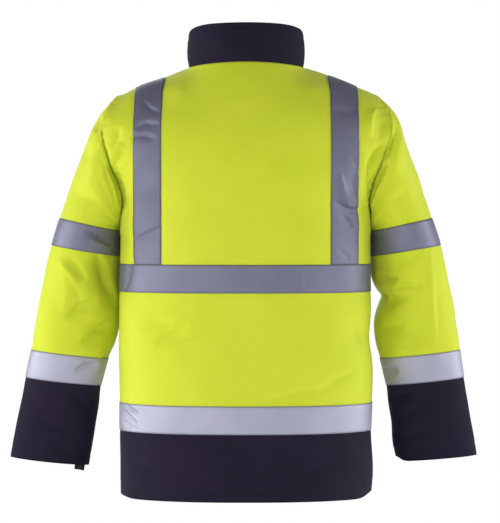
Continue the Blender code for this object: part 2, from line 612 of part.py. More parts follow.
# ---------------------------------------------------------------- the jacket
def build():
    for piece in list(bpy.data.objects):
        bpy.data.objects.remove(piece, do_unlink=True)
    yellow = material("hi_vis_yellow", (0.62, 0.80, 0.03), 0.75)
    navy = material("navy_cloth", (0.020, 0.016, 0.035), 0.8)
    silver = material("reflective_tape", (0.36, 0.36, 0.42), 0.45, 0.3)
    black = material("black_strap", (0.010, 0.010, 0.012), 0.85)
    zipper = material("zip_tape", (0.015, 0.015, 0.020), 0.6)
    metal = material("zip_metal", (0.30, 0.30, 0.32), 0.35, 0.9)

    # -- grids of points
    half = torso_columns()
    heights = torso_heights()
    rises = [step / RISE_STEPS for step in range(1, RISE_STEPS + 1)]
    back_columns = half[::-1] + [0.0] + [-place for place in half]
    left_columns = [ZIP_EDGE] + half
    right_columns = [-place for place in half[::-1]] + [-ZIP_EDGE]
    grids = {
        "back": torso_grid("back", back_columns, heights, rises),
        "front_left": torso_grid("front", left_columns, heights, rises),
        "front_right": torso_grid("front", right_columns, heights, rises),
    }
    underarm_row = heights.index(UNDERARM)
    left_rim = np.concatenate([
        grids["back"][underarm_row:, 0], grids["front_left"][underarm_row:, -1][::-1][1:]])
    right_rim = np.concatenate([
        grids["back"][underarm_row:, -1], grids["front_right"][underarm_row:, 0][::-1][1:]])
    rings = sorted([*range(SLEEVE_RINGS), CUFF_SEAM_RING])
    grids["sleeve_left"] = sleeve_grid(left_rim, True, rings)
    grids["sleeve_right"] = mirrored(sleeve_grid(right_rim * [-1.0, 1.0, 1.0], False, rings))
    neck_back = [column for column, place in enumerate(back_columns) if abs(place) <= NECK_COLUMN]
    neckline = np.concatenate([
        grids["front_left"][-1, :NECK_STEPS + 1],
        grids["back"][-1, neck_back][1:-1],
        grids["front_right"][-1, -NECK_STEPS - 1:],
    ])
    grids["collar"] = collar_grid(neckline, 4)

    wraps = {"sleeve_left", "sleeve_right"}
    normals = {name: grid_normals(points, name in wraps) for name, points in grids.items()}
    share_seam_normals(grids, normals)
    grids["sleeve_left"][0, :, 0] += SEAM_GAP / 2
    grids["sleeve_right"][0, :, 0] -= SEAM_GAP / 2

    def panel(name, source, rows, thick, finish, columns=slice(None), lift=0.0):
        wall(name, grids[source][rows, columns], normals[source][rows, columns], thick, finish, lift, source in wraps)

    # -- shell panels
    seam_row = heights.index(PANEL_SEAM)
    for source, hem_name in (("back", "hem_back"), ("front_left", "hem_front_left"), ("front_right", "hem_front_right")):
        panel(hem_name, source, slice(0, seam_row + 1), BODY_CLOTH, navy)
        panel(source, source, slice(seam_row, None), BODY_CLOTH, yellow)
    cuff_row = rings.index(CUFF_SEAM_RING)
    for hand in ("left", "right"):
        panel("sleeve_" + hand, "sleeve_" + hand, slice(0, cuff_row + 1), BODY_CLOTH, yellow)
        panel("cuff_" + hand, "sleeve_" + hand, slice(cuff_row, None), BODY_CLOTH, navy)
    collar_walls = np.array([BODY_CLOTH] + [COLLAR_CLOTH] * (len(grids["collar"]) - 1))[:, None, None]
    panel("collar", "collar", slice(None), collar_walls, navy)

    # -- reflective tapes
    chest_rows = slice(heights.index(CHEST_TAPE), heights.index(CHEST_TAPE_TOP) + 1)
    waist_rows = slice(heights.index(WAIST_TAPE), heights.index(WAIST_TAPE_TOP) + 1)
    for source in ("back", "front_left", "front_right"):
        panel("chest_tape_" + source, source, chest_rows, TAPE_CLOTH, silver, lift=TAPE_LIFT)
        panel("waist_tape_" + source, source, waist_rows, TAPE_CLOTH, silver, lift=TAPE_LIFT)
    for hand in ("left", "right"):
        source = "sleeve_" + hand
        panel("arm_tape_" + hand, source, slice(ARM_TAPE_RINGS[0], ARM_TAPE_RINGS[1] + 1), TAPE_CLOTH, silver,
              lift=TAPE_LIFT)
        panel("wrist_tape_" + hand, source, slice(WRIST_TAPE_RINGS[0], WRIST_TAPE_RINGS[1] + 2), TAPE_CLOTH, silver,
              lift=TAPE_LIFT)
    tape_foot = heights.index(CHEST_TAPE_TOP)
    for hand, front in (("left", "front_left"), ("right", "front_right")):
        sign = 1 if hand == "left" else -1
        front_columns = left_columns if hand == "left" else right_columns
        first = [place * sign for place in front_columns].index(SHOULDER_TAPE_IN)
        last = [place * sign for place in front_columns].index(SHOULDER_TAPE_OUT)
        front_slice = slice(min(first, last), max(first, last) + 1)
        back_first = [place * sign for place in back_columns].index(SHOULDER_TAPE_OUT)
        back_last = [place * sign for place in back_columns].index(SHOULDER_TAPE_IN)
        back_slice = slice(min(back_first, back_last), max(back_first, back_last) + 1)

        def over(table):
            up = table[front][tape_foot:, front_slice]
            down = table["back"][tape_foot:, back_slice][::-1, ::-1][1:]
            return np.concatenate([up, down])

        wall("shoulder_tape_" + hand, over(grids), over(normals), TAPE_CLOTH, silver, TAPE_LIFT)

    # -- zip, from just above the hem to just below the collar's top
    front_edge = grids["front_left"][:, :2]
    edge = np.concatenate([front_edge, grids["collar"][1:, :2]])
    edge_normals = np.concatenate([normals["front_left"][:, 0], normals["collar"][1:, 0]])
    cloth = [BODY_CLOTH] * len(front_edge) + [COLLAR_CLOTH] * (len(grids["collar"]) - 1)
    for end, inner in ((0, 1), (-1, -2)):
        edge[end] = edge[end] + (edge[inner] - edge[end]) * 0.2
    zip_half("zip_left", 1, edge, edge_normals, cloth, zipper)
    zip_half("zip_right", -1, edge, edge_normals, cloth, zipper)
    collar_edge = grids["collar"][:, 0]
    face_y = float(np.interp(SLIDER_HEIGHT, collar_edge[:, 2], collar_edge[:, 1]))
    hinge = zip_slider(face_y, SLIDER_HEIGHT, metal)
    zip_pull(hinge, metal)

    # -- strap end, on the front of the left cuff and hanging below it
    cuff = grids["sleeve_left"][-2:]
    cuff_normals = normals["sleeve_left"][-2:]
    count = cuff.shape[1] - 1
    strap = []
    strap_normals = []
    for place in STRAP_COLUMNS:
        column = count - int(place)
        part = place - int(place)
        strap.append(cuff[:, column] * (1 - part) + cuff[:, column - 1] * part)
        strap_normals.append(cuff_normals[:, column] * (1 - part) + cuff_normals[:, column - 1] * part)
    strap = np.stack(strap[::-1], axis=1)
    strap_normals = np.stack(strap_normals[::-1], axis=1)
    down = (strap[1] - strap[0]) / np.linalg.norm(strap[1] - strap[0], axis=1, keepdims=True)
    strap = np.concatenate([strap, [strap[1] + down * STRAP_HANG]])
    strap_normals = np.concatenate([strap_normals, strap_normals[1:]])
    wall("cuff_strap_left", strap, strap_normals, STRAP_CLOTH, black, TAPE_LIFT)


build()
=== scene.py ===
"""The looks of the hi-vis work jacket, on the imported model's frame.

Every panel, tape and strip is the same grid of points as its solid, at finer steps, with the
creases pressed into it and its edges turned in as at a seam. Sewing, zip teeth and the finish of
each cloth are added on those grids. Lengths are metres, except in the crease tables, which are in
millimetres. +Z is up, the front faces -Y and the wearer's left is +X. "Behind" is the jacket's back,
at +Y.
"""
import math
from collections import namedtuple

import bmesh
import bpy
import numpy as np
from mathutils import Matrix, Vector, noise


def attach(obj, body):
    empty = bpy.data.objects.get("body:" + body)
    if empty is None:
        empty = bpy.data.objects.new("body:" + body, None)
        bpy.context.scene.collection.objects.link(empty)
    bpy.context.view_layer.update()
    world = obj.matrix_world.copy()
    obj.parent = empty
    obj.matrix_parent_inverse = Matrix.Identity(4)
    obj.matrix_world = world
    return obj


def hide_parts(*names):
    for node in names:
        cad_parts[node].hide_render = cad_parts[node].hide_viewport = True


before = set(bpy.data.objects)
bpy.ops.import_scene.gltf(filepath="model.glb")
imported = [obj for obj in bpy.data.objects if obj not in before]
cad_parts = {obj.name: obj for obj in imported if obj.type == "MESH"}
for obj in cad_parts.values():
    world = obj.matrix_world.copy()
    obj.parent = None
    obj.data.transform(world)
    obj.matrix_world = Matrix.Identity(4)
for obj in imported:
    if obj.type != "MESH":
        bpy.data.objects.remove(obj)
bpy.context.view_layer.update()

# ---------------------------------------------------------------- sizes shared with the solids
SEAM_GAP = 0.0003
TAPE_LIFT = 0.0003
TAPE_CLOTH = 0.0008
TAPE_WIDTH = 0.050
SEAM_UNDER_TAPE = 0.006

HEM = -0.7685
WAIST_TAPE = -0.650
CHEST_TAPE = -0.402
UNDERARM = -0.265
BLADE = -0.150
PANEL_SEAM = WAIST_TAPE + SEAM_UNDER_TAPE
WAIST_TAPE_TOP = WAIST_TAPE + TAPE_WIDTH
CHEST_TAPE_TOP = CHEST_TAPE + TAPE_WIDTH

ZIP_EDGE = 0.007
NECK_COLUMN = 0.125
SHOULDER_TAPE_IN = 0.149
SHOULDER_TAPE_OUT = SHOULDER_TAPE_IN + TAPE_WIDTH

NECK_HALF_WIDTH = 0.103
SHOULDER_END = Vector((0.228, -0.005, -0.049))
SHOULDER_CROWN = 0.004
ARMHOLE_HALF_DEPTH = 0.085
OVAL = 2.3
NECK = {
    "back": {"depth": 0.080, "centre_height": 0.007, "slope": 60.0},
    "front": {"depth": 0.095, "centre_height": -0.055, "slope": 62.0},
}
SIDE_SIGN = {"back": 1, "front": -1}
WRAPS = {"sleeve_left", "sleeve_right"}
HANDS = {"left": 1, "right": -1}
TORSO_PANELS = ("back", "front_left", "front_right")

# ---- Torso ovals: height, half width to the left and to the right, depth behind and in front
TORSO = {
    "height": (-0.7685, -0.717, -0.650, -0.600, -0.530, -0.486, -0.440, -0.386, -0.300, -0.265),
    "left": (0.2262, 0.2262, 0.2268, 0.2270, 0.2284, 0.2286, 0.2282, 0.2270, 0.2255, 0.2250),
    "right": (0.2275, 0.2284, 0.2250, 0.2266, 0.2275, 0.2218, 0.2248, 0.2236, 0.2235, 0.2235),
    "back": (0.1480, 0.1470, 0.1455, 0.1450, 0.1455, 0.1460, 0.1470, 0.1485, 0.1500, 0.1500),
    "front": (0.1540, 0.1535, 0.1525, 0.1520, 0.1525, 0.1535, 0.1545, 0.1550, 0.1530, 0.1505),
}
YOKE = {
    "height": (-0.243, -0.2176, -0.1855, -0.150),
    "back_width": (0.2280, 0.2460, 0.2710, 0.2915),
    "front_width": (0.2280, 0.2400, 0.2600, 0.2770),
    "back": (0.1500, 0.1495, 0.1470, 0.1420),
    "front": (0.1495, 0.1470, 0.1430, 0.1380),
}
COLLAR_TOP = {
    "y": (-0.097, -0.050, 0.000, 0.029, 0.054, 0.070),
    "z": (0.020, 0.036, 0.058, 0.069, 0.0750, 0.077),
}
COLLAR_BULGE = 0.0015
LEAN_STEP = 0.002
QUARTER_PULL = 1.657
NECK_PULL = 1.03
SHOULDER_SLANT = 0.2

SLEEVE = {
    "outer_x": (0.2280, 0.2360, 0.2520, 0.2660, 0.2770, 0.2865, 0.2990, 0.3115, 0.3225, 0.3345, 0.3500,
                0.3595, 0.3665, 0.3740, 0.3800, 0.3850, 0.3880, 0.3996, 0.4068, 0.4145, 0.4215, 0.4283),
    "outer_z": (-0.0490, -0.0605, -0.0780, -0.0976, -0.1200, -0.1410, -0.1696, -0.2000, -0.2340, -0.2700,
                -0.3190, -0.3560, -0.3900, -0.4250, -0.4600, -0.4850, -0.5080, -0.5584, -0.5940, -0.6300,
                -0.6650, -0.7005),
    "inner_x": (0.2250, 0.2262, 0.2270, 0.2276, 0.2282, 0.2284, 0.2284, 0.2279, 0.2274, 0.2270, 0.2268,
                0.2268, 0.2268, 0.2262, 0.2290, 0.2375, 0.2495, 0.2628, 0.2665, 0.2725, 0.2785, 0.2850),
    "inner_z": (-0.2650, -0.2690, -0.2725, -0.2755, -0.2780, -0.2800, -0.2825, -0.2855, -0.2890, -0.2935,
                -0.3400, -0.3700, -0.4000, -0.4310, -0.4640, -0.4950, -0.5230, -0.5728, -0.6050, -0.6400,
                -0.6745, -0.7120),
    "right_outer": (0.0, 0.0080, 0.0080, 0.0040, 0.0015, 0.0005, 0.0, 0.0, 0.0, 0.0, 0.0, 0.0, 0.0, 0.0,
                    -0.0005, -0.0010, -0.0010, -0.0050, -0.0058, -0.0078, -0.0080, -0.0090),
    "right_inner": (0.0, 0.0, 0.0, -0.0008, -0.0014, -0.0018, -0.0020, -0.0020, -0.0020, -0.0020, -0.0020,
                    -0.0012, 0.0036, 0.0083, 0.0025, -0.0025, -0.0070, -0.0080, -0.0082, -0.0090, -0.0130,
                    -0.0135),
    "depth": (0.0870, 0.0875, 0.0885, 0.0890, 0.0895, 0.0900, 0.0900, 0.0895, 0.0890, 0.0880, 0.0850,
              0.0815, 0.0780, 0.0720, 0.0665, 0.0615, 0.0570, 0.0515, 0.0470, 0.0440, 0.0415, 0.0400),
    "centre_y": (0.0, 0.0, 0.0, 0.0, 0.0, 0.0, 0.0, -0.001, -0.002, -0.003, -0.006,
                 -0.009, -0.012, -0.016, -0.020, -0.024, -0.028, -0.033, -0.037, -0.041, -0.044, -0.047),
    "tuck": (0.0, 0.0, -0.002, -0.004, -0.006, -0.008, -0.012, -0.019, -0.025, -0.030, -0.035, -0.036, -0.036,
             -0.034, -0.028, -0.015, 0.0, 0.0, 0.0, 0.0, 0.0, 0.0),
    "left_outer_drop": (0.0,) * 18 + (-0.0008, -0.0016, -0.0025, -0.0034),
    "left_inner_drop": (0.0,) * 18 + (-0.0015, -0.0032, -0.0052, -0.0070),
}
SLEEVE_COUNT = len(SLEEVE["outer_x"])
ARM_TAPE_RINGS = (9, 10)
WRIST_TAPE_RINGS = (16, 17)
CUFF_SEAM_RING = WRIST_TAPE_RINGS[1] - SEAM_UNDER_TAPE / TAPE_WIDTH
ARMHOLE_FADE_RINGS = 8.0
BEHIND_SPREAD = 1.4
FOLDS_START = UNDERARM - 0.02
FOLDS_FADE = 0.06

SLEEVE_FOLDS = {
    "x": (0.232, 0.290, 0.258, -0.262, -0.300),
    "z": (-0.372, -0.428, -0.468, -0.415, -0.478),
    "direction": (28.0, -14.0, 24.0, -30.0, 18.0),
    "length": (0.075, 0.080, 0.070, 0.085, 0.090),
    "width": (0.022, 0.024, 0.022, 0.024, 0.026),
    "trough": (0.0035, 0.0040, 0.0035, 0.0045, 0.0035),
}
TORSO_FOLDS = {
    "x": (0.135, -0.195),
    "z": (-0.470, -0.470),
    "direction": (40.0, -42.0),
    "length": (0.110, 0.100),
    "width": (0.034, 0.032),
    "trough": (0.0020, 0.0020),
}

ZIP_TAPE_OUT = 0.015
ZIP_TAPE_DEEP = 0.0033
COLLAR_CLOTH_EXTRA = 0.0015
STRAP_COLUMNS = (1.7, 2.9)
STRAP_HANG = 0.0140
STRAP_CLOTH = 0.0020

# ---------------------------------------------------------------- sizes of the dressed cloth
# ---- The longest step between rows or columns, the counts of steps over the shoulders, out to the side
# ---- seams and up the collar, and a sleeve's columns to each one of its solid
CLOTH_STEP = 0.0036
YOKE_STEPS = 35
RISE_STEPS = 42
SIDE_STEPS = 26
COLLAR_STEPS = 30
COARSE_COLUMN = 7
SAME_PLACE = 1e-6

SHELL = 0.0016
COLLAR_SHELL = 0.0022
TURNED_IN = 0.0030
STRAP_START_RING = 20
ZIP_STRIP_COLUMNS = (0.0006, 0.0025, 0.0045, ZIP_EDGE, 0.0096, 0.0122, ZIP_TAPE_OUT - 0.0004)
ZIP_STRIP_CLOTH = 0.0009
ZIP_SLOPE_COLUMN = 4
TOOTH = Vector((0.0042, 0.0024, 0.0015))
TOOTH_PITCH = 0.0028
TOOTH_AHEAD = 0.002
TOOTH_PAST_MIDDLE = 0.0006
TEETH_IN_A_ROW = 70

# ---- Stitches, and how many steps of a grid their lines lie inside its edge
STITCH_PITCH = 0.0036
STITCH_LENGTH = 0.0028
STITCH_RADIUS = 0.00032
ON_TAPE = TAPE_LIFT + TAPE_CLOTH + STITCH_RADIUS * 0.3
ON_CLOTH = STITCH_RADIUS * 0.2
TAPE_LINE_STEPS = 0.7
CUFF_LINE_STEPS = 5.5
COLLAR_LINE_STEPS = 1.9
ZIP_LINE_STEPS = 1.6
ARMHOLE_LINE_STEPS = 1.1

# ---- How a crease's table row becomes a trough with banks
CREASE_GAIN = 1.9
CREASE_LEAN = 1.8
CREASE_SWELL = 0.7
CREASE_TAPER = 0.45
CREASE_ROUNDNESS = 1.35
SLEEVE_GAIN = 1.3
BANK_SPREAD = 2.4
BANK_FADE = 0.005
BEHIND_FADE = 0.03
RIGHT_CREASE_DROP = 0.012
MILLIMETRES = 1000.0

# ---- Where the sleeves touch the torso, the crook of the right elbow, and the rounded corners
TOUCHING_SIDES = {"back": (1, -1), "front_left": (1,), "front_right": (-1,), "sleeve_left": (-1,),
                  "sleeve_right": (1,)}
TOUCH_BELOW = 0.017
SLEEVE_TOUCH = 0.0030
TORSO_TOUCH = 0.0016
CROOK_HEIGHT = -0.4135
CROOK_REACH = 0.016
CROOK_DEPTH = 0.0135
CUFF_CORNER = 0.0085
CUFF_CORNER_HEIGHT = 0.030
CUFF_CORNER_REACH = 0.010
HEM_CORNER = {"left": 0.004, "right": 0.009}
HEM_CORNER_X = 0.2275
HEM_CORNER_HEIGHT = 0.040
HEM_CORNER_REACH = 0.016
HEM_CORNER_INWARDS = 0.15
NECK_CORNERS = [(sign * 0.106, 0.022, -0.016) for sign in (1, -1)]
NECK_REACH = 0.075
NECK_TIMES = 160

# ---- The armhole seams: given a painted shadow and grooved below some heights, and puckered
SEAM_SHADOW_PAINTED_BELOW = {"left": -0.118, "right": -0.150}
SEAM_FADE = 0.03
SEAM_CLEAR = 0.02
SEAM_REACH = 0.012
GROOVE_BELOW = -0.14
GROOVE_LOST = 0.9
PUCKER_PITCH = 0.0170
PUCKER_DEPTHS = (0.6, 0.9)
PUCKER_WANDER = 1.1

# ---- Lines of sewing by their distance from an edge, the collar's padding, and where loose cloth fades
HEM_LINE = 0.022
SLEEVE_HEM_LINE = 0.020
COLLAR_LINE = 0.008
COLLAR_PUFF = 0.0012
COLLAR_FOOT = 0.25
FACING_FADE = 0.05
RISE_FADE = 0.01
HEM_FADE = 0.012
ARMHOLE_FADE = 0.03
SIDE_SLACK = 0.25
DIP_START = -0.110
DIP_FADE = 0.050

# ---- Grooves of sewing and soft dips, by depth and reach, and the unevenness of slack cloth
Groove = namedtuple("Groove", "depth reach")
TAPE_EDGE = Groove(0.0005, 0.004)
HEM_EDGE = Groove(0.0006, 0.003)
ARMHOLE_SEAM = Groove(0.0024, 0.0042)
ARMHOLE_PUCKER = Groove(0.0026, 0.013)
COLLAR_SEWING = Groove(0.0005, 0.0025)
NECK_SEAM = Groove(0.0010, 0.003)
SHOULDER_DIPS = {0.150: Groove(0.0042, 0.038), 0.232: Groove(0.0040, 0.030)}
Slack = namedtuple("Slack", "rise size seed")
TORSO_SLACK = (Slack(0.0011, 0.105, 3.1), Slack(0.0006, 0.042, 7.7))
SLEEVE_SLACK = {
    "left": (Slack(0.0012, 0.085, 5.3), Slack(0.0006, 0.036, 9.1)),
    "right": (Slack(0.0012, 0.085, -5.3), Slack(0.0006, 0.036, 9.1)),
}
COLLAR_SLACK = (Slack(0.0007, 0.045, 2.2),)

Crease = namedtuple("Crease", "path width depth lean")


def crease(width, depth, *path, lean=0.0):
    """A crease given in millimetres: half width, depth, and the places (x, z) along it. A negative
    depth is a ridge, and a lean makes the bank on the left of the way along the path steeper."""
    return Crease(np.array(path) / MILLIMETRES, width / MILLIMETRES, depth / MILLIMETRES, lean)


# ---- Creases behind, at places seen from behind
TORSO_CREASES = [
    crease(6.5, 5, (239.5, -169), (231, -196), (223, -222), (215, -252)),
    crease(6, -4.4, (240, -170), (229, -154.5), (217.2, -138.5)),
    crease(6, 4.4, (236.7, -177.7), (227.8, -163.4), (217.2, -145.6), lean=0.2),
    crease(8, 3.2, (224, -110), (227.5, -128), (236.7, -151)),
    crease(4.5, 1.8, (225.3, -196.2), (214.7, -185.6), (202.4, -175)),
    crease(5, -3.2, (-232.3, -74.7), (-221.8, -88), (-218.2, -107.2), (-218.2, -129.3)),
    crease(9, 2.4, (-237.6, -92.8), (-239.4, -119.2), (-231, -140)),
    crease(5, -2.6, (-244.9, -71.6), (-254.5, -94), (-256.5, -117.2), (-253, -135)),
    crease(6, 6.8, (-244.6, -136.3), (-230, -154), (-221, -178), (-218.2, -220.8)),
    crease(5.5, 4.5, (-244, -168), (-233, -195), (-223, -220), (-217.2, -240)),
    crease(8, -1.6, (-202, -129), (-208, -160), (-209, -198)),
    crease(7, 2.2, (195.5, -111), (176, -103), (150, -106), lean=0.3),
    crease(7, 2.6, (182.3, -62), (170, -74), (150, -85), lean=0.3),
    crease(6, 2.2, (204, -127), (180, -124), (158, -130), lean=0.3),
    crease(9, 1.8, (-154, -76.4), (-176.1, -83.4), (-199, -80)),
    crease(6, 2, (196, -308.5), (172.5, -296.5), (146.1, -284.2), lean=0.3),
    crease(5, 1.4, (-184.8, -162), (-195.4, -178.6), (-202.4, -199.7)),
    crease(7, -2.6, (-165.4, -190.9), (-172.5, -220.8), (-183, -259.5), lean=0.2),
    crease(7, 2, (-193, -180), (-190, -210), (-196, -242), lean=0.2),
    crease(6.2, 2.6, (-156, -239), (-174, -250), (-188, -256), (-205.6, -252.5), lean=0.3),
    crease(6, 1.8, (-169, -264), (-180, -274), (-190, -286), lean=0.2),
    crease(4.5, -0.9, (-164, -215), (-170, -229), (-166, -243)),
    crease(4, 1, (-161.9, -326.4), (-176, -337), (-183, -347.5)),
    crease(6.5, 3, (204, -338), (209, -370.4), (217, -403), lean=-0.3),
    crease(5, 0.7, (-103.8, -356.1), (-105.6, -379.2), (-103.8, -402.3)),
    crease(6, 3, (220, -596), (205.9, -608), (188.1, -618), lean=0.3),
    crease(6, 2.8, (220.2, -610.5), (207.7, -622.1), (192.4, -635.9), lean=0.3),
    crease(5.5, 1.6, (218.2, -629), (208, -640), (190, -645)),
    crease(8, 1.8, (190.1, -467.2), (158.4, -453.1), (130.2, -453.1), lean=0.2),
    crease(8.5, 2.2, (160.2, -493.6), (133.8, -474.2), (102.1, -453.1), lean=0.2),
    crease(9, -1.4, (148, -509), (118, -493), (80, -484)),
    crease(6, 2.2, (-183, -447.1), (-193.6, -469), (-204.6, -493.8)),
    crease(9, 1.4, (-28.2, -593.9), (-81, -576.3), (-151.4, -569.3), lean=0.2),
    crease(8, 1.6, (-126.7, -576.3), (-158.4, -555.2), (-196.6, -538.1)),
    crease(5, 1.6, (98, -742.3), (59.8, -750.3), (14.6, -745)),
    crease(7, 1.8, (-95, -713.6), (-147.8, -703), (-197.1, -713.6)),
    crease(6.5, 1.4, (210, -690), (185, -708), (150, -716)),
]
SLEEVE_CREASES = {
    "left": [
        crease(5.6, 5.6, (244, -179), (238.5, -193), (230.5, -211.5), (225, -237), (223.5, -252), lean=-0.4),
        crease(8, -1.6, (259, -170), (253, -196), (245, -222), (237, -245)),
        crease(8, 2.2, (268, -118), (263, -104), (259, -88)),
        crease(8, 1.4, (286, -170), (272, -150), (260, -140)),
        crease(13, 7, (266, -333), (249, -368), (237.5, -405), (230.5, -433), lean=0.4),
        crease(7.5, -2.8, (333, -340), (319, -360), (298, -389)),
        crease(7.5, 3.2, (312, -340), (300, -358), (284.1, -381.8), lean=0.3),
        crease(8.5, 3.6, (325.4, -448.7), (295.5, -426.9), (264, -414.2), lean=0.3),
        crease(9, 4.2, (295.9, -494.7), (265.2, -469.6), (236.5, -451.6), lean=0.3),
        crease(9, 1.2, (306.2, -390), (297.5, -409.1), (297.3, -439), lean=0.3),
        crease(7, 3, (286, -290), (266, -303), (240, -317), lean=0.3),
        crease(6, -1.6, (278, -310), (260, -318), (242, -326)),
        crease(6, 2.6, (307.4, -543.8), (290.1, -533.7), (268.3, -530.9), lean=0.3),
        crease(8, -2.4, (257, -498), (261, -530), (272, -580), lean=0.3),
        crease(8, 2.2, (313.3, -583.5), (291.9, -601.3), (274.1, -629.8), lean=0.2),
        crease(8, 1.6, (377.4, -629.8), (345.3, -647.6), (302.6, -658.3)),
        crease(5, 1.2, (360, -680), (330, -688), (300, -690)),
        crease(12, 1.8, (308, -220), (286, -235), (256, -242)),
        crease(12, -1.6, (330, -350), (320, -390), (325, -440)),
    ],
    "right": [
        crease(4.2, -2.8, (-245.6, -69.1), (-252.8, -83.3), (-258.1, -104.7), (-256.3, -126.1),
               (-251, -145.6), (-245.6, -156.3)),
        crease(5, 4.2, (-263.4, -122.8), (-256.3, -145.6), (-245.6, -166.4)),
        crease(5, 4.8, (-250, -174), (-237, -201), (-227, -221), (-223, -240), lean=0.3),
        crease(8, -2.4, (-269, -120), (-265, -165), (-259, -208)),
        crease(9, 8.5, (-220.7, -395), (-234, -408.5), (-251.2, -419), lean=0.3),
        crease(6.5, 3.2, (-235, -370), (-256, -379), (-272.3, -378), lean=0.3),
        crease(7.5, 3, (-264, -398), (-290, -389), (-314, -389.5), lean=0.3),
        crease(7, -1.8, (-262, -409), (-286, -400), (-306, -396)),
        crease(10, 2.4, (-233, -464), (-256, -466), (-285, -461), lean=0.2),
        crease(9, -3, (-328.5, -330), (-332, -416.2), (-340.2, -495.4), lean=0.3),
        crease(7, 4, (-243.4, -543.6), (-259, -542), (-274, -546), lean=0.3),
        crease(8, 3, (-257.9, -597.8), (-281.2, -589.6), (-304.6, -586.1), lean=0.2),
        crease(9, 2.2, (-274.1, -636.9), (-302.6, -615.6), (-334.1, -599.3), lean=0.2),
        crease(7.5, 1.8, (-265, -672.5), (-299, -661.8), (-340.2, -652.7)),
        crease(12, 1.6, (-285, -220), (-270, -235), (-250, -244)),
        crease(11, 1.8, (-315, -325), (-290, -345), (-260, -352)),
    ],
}

# ---- Creases in front. Those of the sleeves are for the left one, and mirrored a little lower on the right
FRONT_TORSO_CREASES = [
    crease(7, 4.5, (238, -168), (230, -195), (220, -230), lean=0.2),
    crease(7, 2.2, (230, -150), (216, -130), (201, -112)),
    crease(7, 5, (-236, -154), (-226, -185), (-218, -224), lean=-0.2),
    crease(6.5, 2, (-226, -170), (-212, -154), (-196, -130)),
    crease(4, 1.4, (196, -220), (174, -212), (150, -214), lean=0.2),
    crease(4, 1.4, (-198, -296), (-176, -285), (-150, -280), lean=0.2),
    crease(9, 2, (170, -450), (135, -465), (90, -470), lean=0.2),
    crease(8.5, 2.2, (-185, -470), (-150, -456), (-105, -460), lean=0.2),
    crease(8, 1.8, (205, -510), (175, -535), (140, -545)),
    crease(9, 1.6, (-30, -560), (-75, -550), (-125, -530)),
    crease(8, 1.4, (20, -520), (50, -535), (95, -580)),
    crease(3.8, 1.8, (215, -605), (202, -618), (185, -625), lean=0.2),
    crease(3.8, 1.8, (-216, -610), (-202, -619), (-185, -634), lean=0.2),
    crease(5.5, 1.5, (90, -735), (55, -743), (20, -740)),
    crease(6.5, 1.6, (-180, -705), (-140, -713), (-90, -708)),
    crease(11, 1.4, (18, -130), (45, -105), (80, -90)),
    crease(11, 1.4, (-18, -150), (-48, -118), (-85, -98)),
    crease(12, 1.2, (15, -250), (50, -268), (95, -272)),
    crease(12, 1.2, (-15, -290), (-50, -300), (-90, -298)),
]
FRONT_SLEEVE_CREASES = [
    crease(6, 3, (262, -115), (256, -100), (248, -88), lean=0.2),
    crease(10, 2.4, (242, -235), (264, -230), (290, -212), lean=0.2),
    crease(8.5, 4, (240, -380), (270, -372), (305, -360), lean=0.3),
    crease(8.5, -2.4, (238, -410), (272, -406), (308, -396)),
    crease(8.5, 4.2, (245, -445), (278, -433), (320, -430), lean=0.3),
    crease(8, 2.6, (260, -495), (290, -480), (330, -478), lean=0.2),
    crease(4, 1.6, (256, -308), (275, -300), (295, -302), lean=0.3),
    crease(4, 1.6, (275, -545), (300, -538), (320, -544), lean=0.3),
    crease(8, 2.2, (285, -605), (310, -615), (345, -610), lean=0.2),
    crease(7.5, 1.8, (300, -655), (330, -648), (370, -655)),
]

# ---- Fine pressed creases of the tapes behind. Their depth is the height of the banks beside them
TAPE_CREASES = {
    "waist_tape_back": [
        crease(2.6, 1.6, (215, -600.4), (205, -608), (192.5, -615)),
        crease(2.6, 1.6, (216, -612), (208, -621), (196.5, -632.5)),
        crease(2.4, 1.2, (219.4, -605), (216, -624), (213, -643)),
        crease(2.2, 0.9, (210, -629), (201, -638), (190, -642)),
    ],
    "chest_tape_back": [
        crease(2.6, 1.4, (212, -356), (206, -372), (211, -396)),
        crease(2.4, 1.2, (211, -394), (199, -396), (188, -399)),
        crease(2.2, 0.9, (-160, -358), (-168, -364), (-179, -360)),
    ],
    "shoulder_tape_left": [
        crease(2.4, 1.3, (186, -60), (174, -69), (162, -72)),
        crease(2.8, 1.6, (172, -74), (160, -85), (150, -80)),
        crease(2.4, 1.2, (169, -82), (159, -90), (149.5, -96)),
        crease(2.4, 1, (179, -98.5), (169, -106), (157, -108)),
        crease(2.6, 1.4, (198.5, -125.7), (184, -125), (169, -130)),
        crease(2.2, 0.9, (196, -303), (180, -298), (162, -289)),
    ],
    "shoulder_tape_right": [
        crease(2.8, 1.3, (-170, -176), (-172, -205), (-179, -233)),
        crease(2.6, 1.6, (-156, -238), (-166, -245), (-176, -252), (-195, -252)),
        crease(2.6, 1.3, (-168, -262), (-176, -272), (-186, -281)),
        crease(2.2, 0.9, (-187, -130), (-190, -136), (-193, -140)),
        crease(2.2, 0.9, (-162, -324), (-176, -333), (-186, -332)),
    ],
    "arm_tape_left": [
        crease(3.2, 1.8, (283, -292.1), (265.2, -304.1), (242.1, -316)),
        crease(2.4, 0.9, (270, -314), (256, -323), (244, -326)),
    ],
    "wrist_tape_left": [
        crease(2.8, 1.6, (306, -542), (289.9, -534.5), (269, -533)),
        crease(2.6, 1.3, (259, -510), (261, -530), (266, -554)),
    ],
    "wrist_tape_right": [
        crease(3, 1.6, (-246, -545.5), (-259, -542), (-272, -542.5)),
        crease(2.4, 1, (-257, -548), (-260, -558), (-262, -568)),
    ],
}

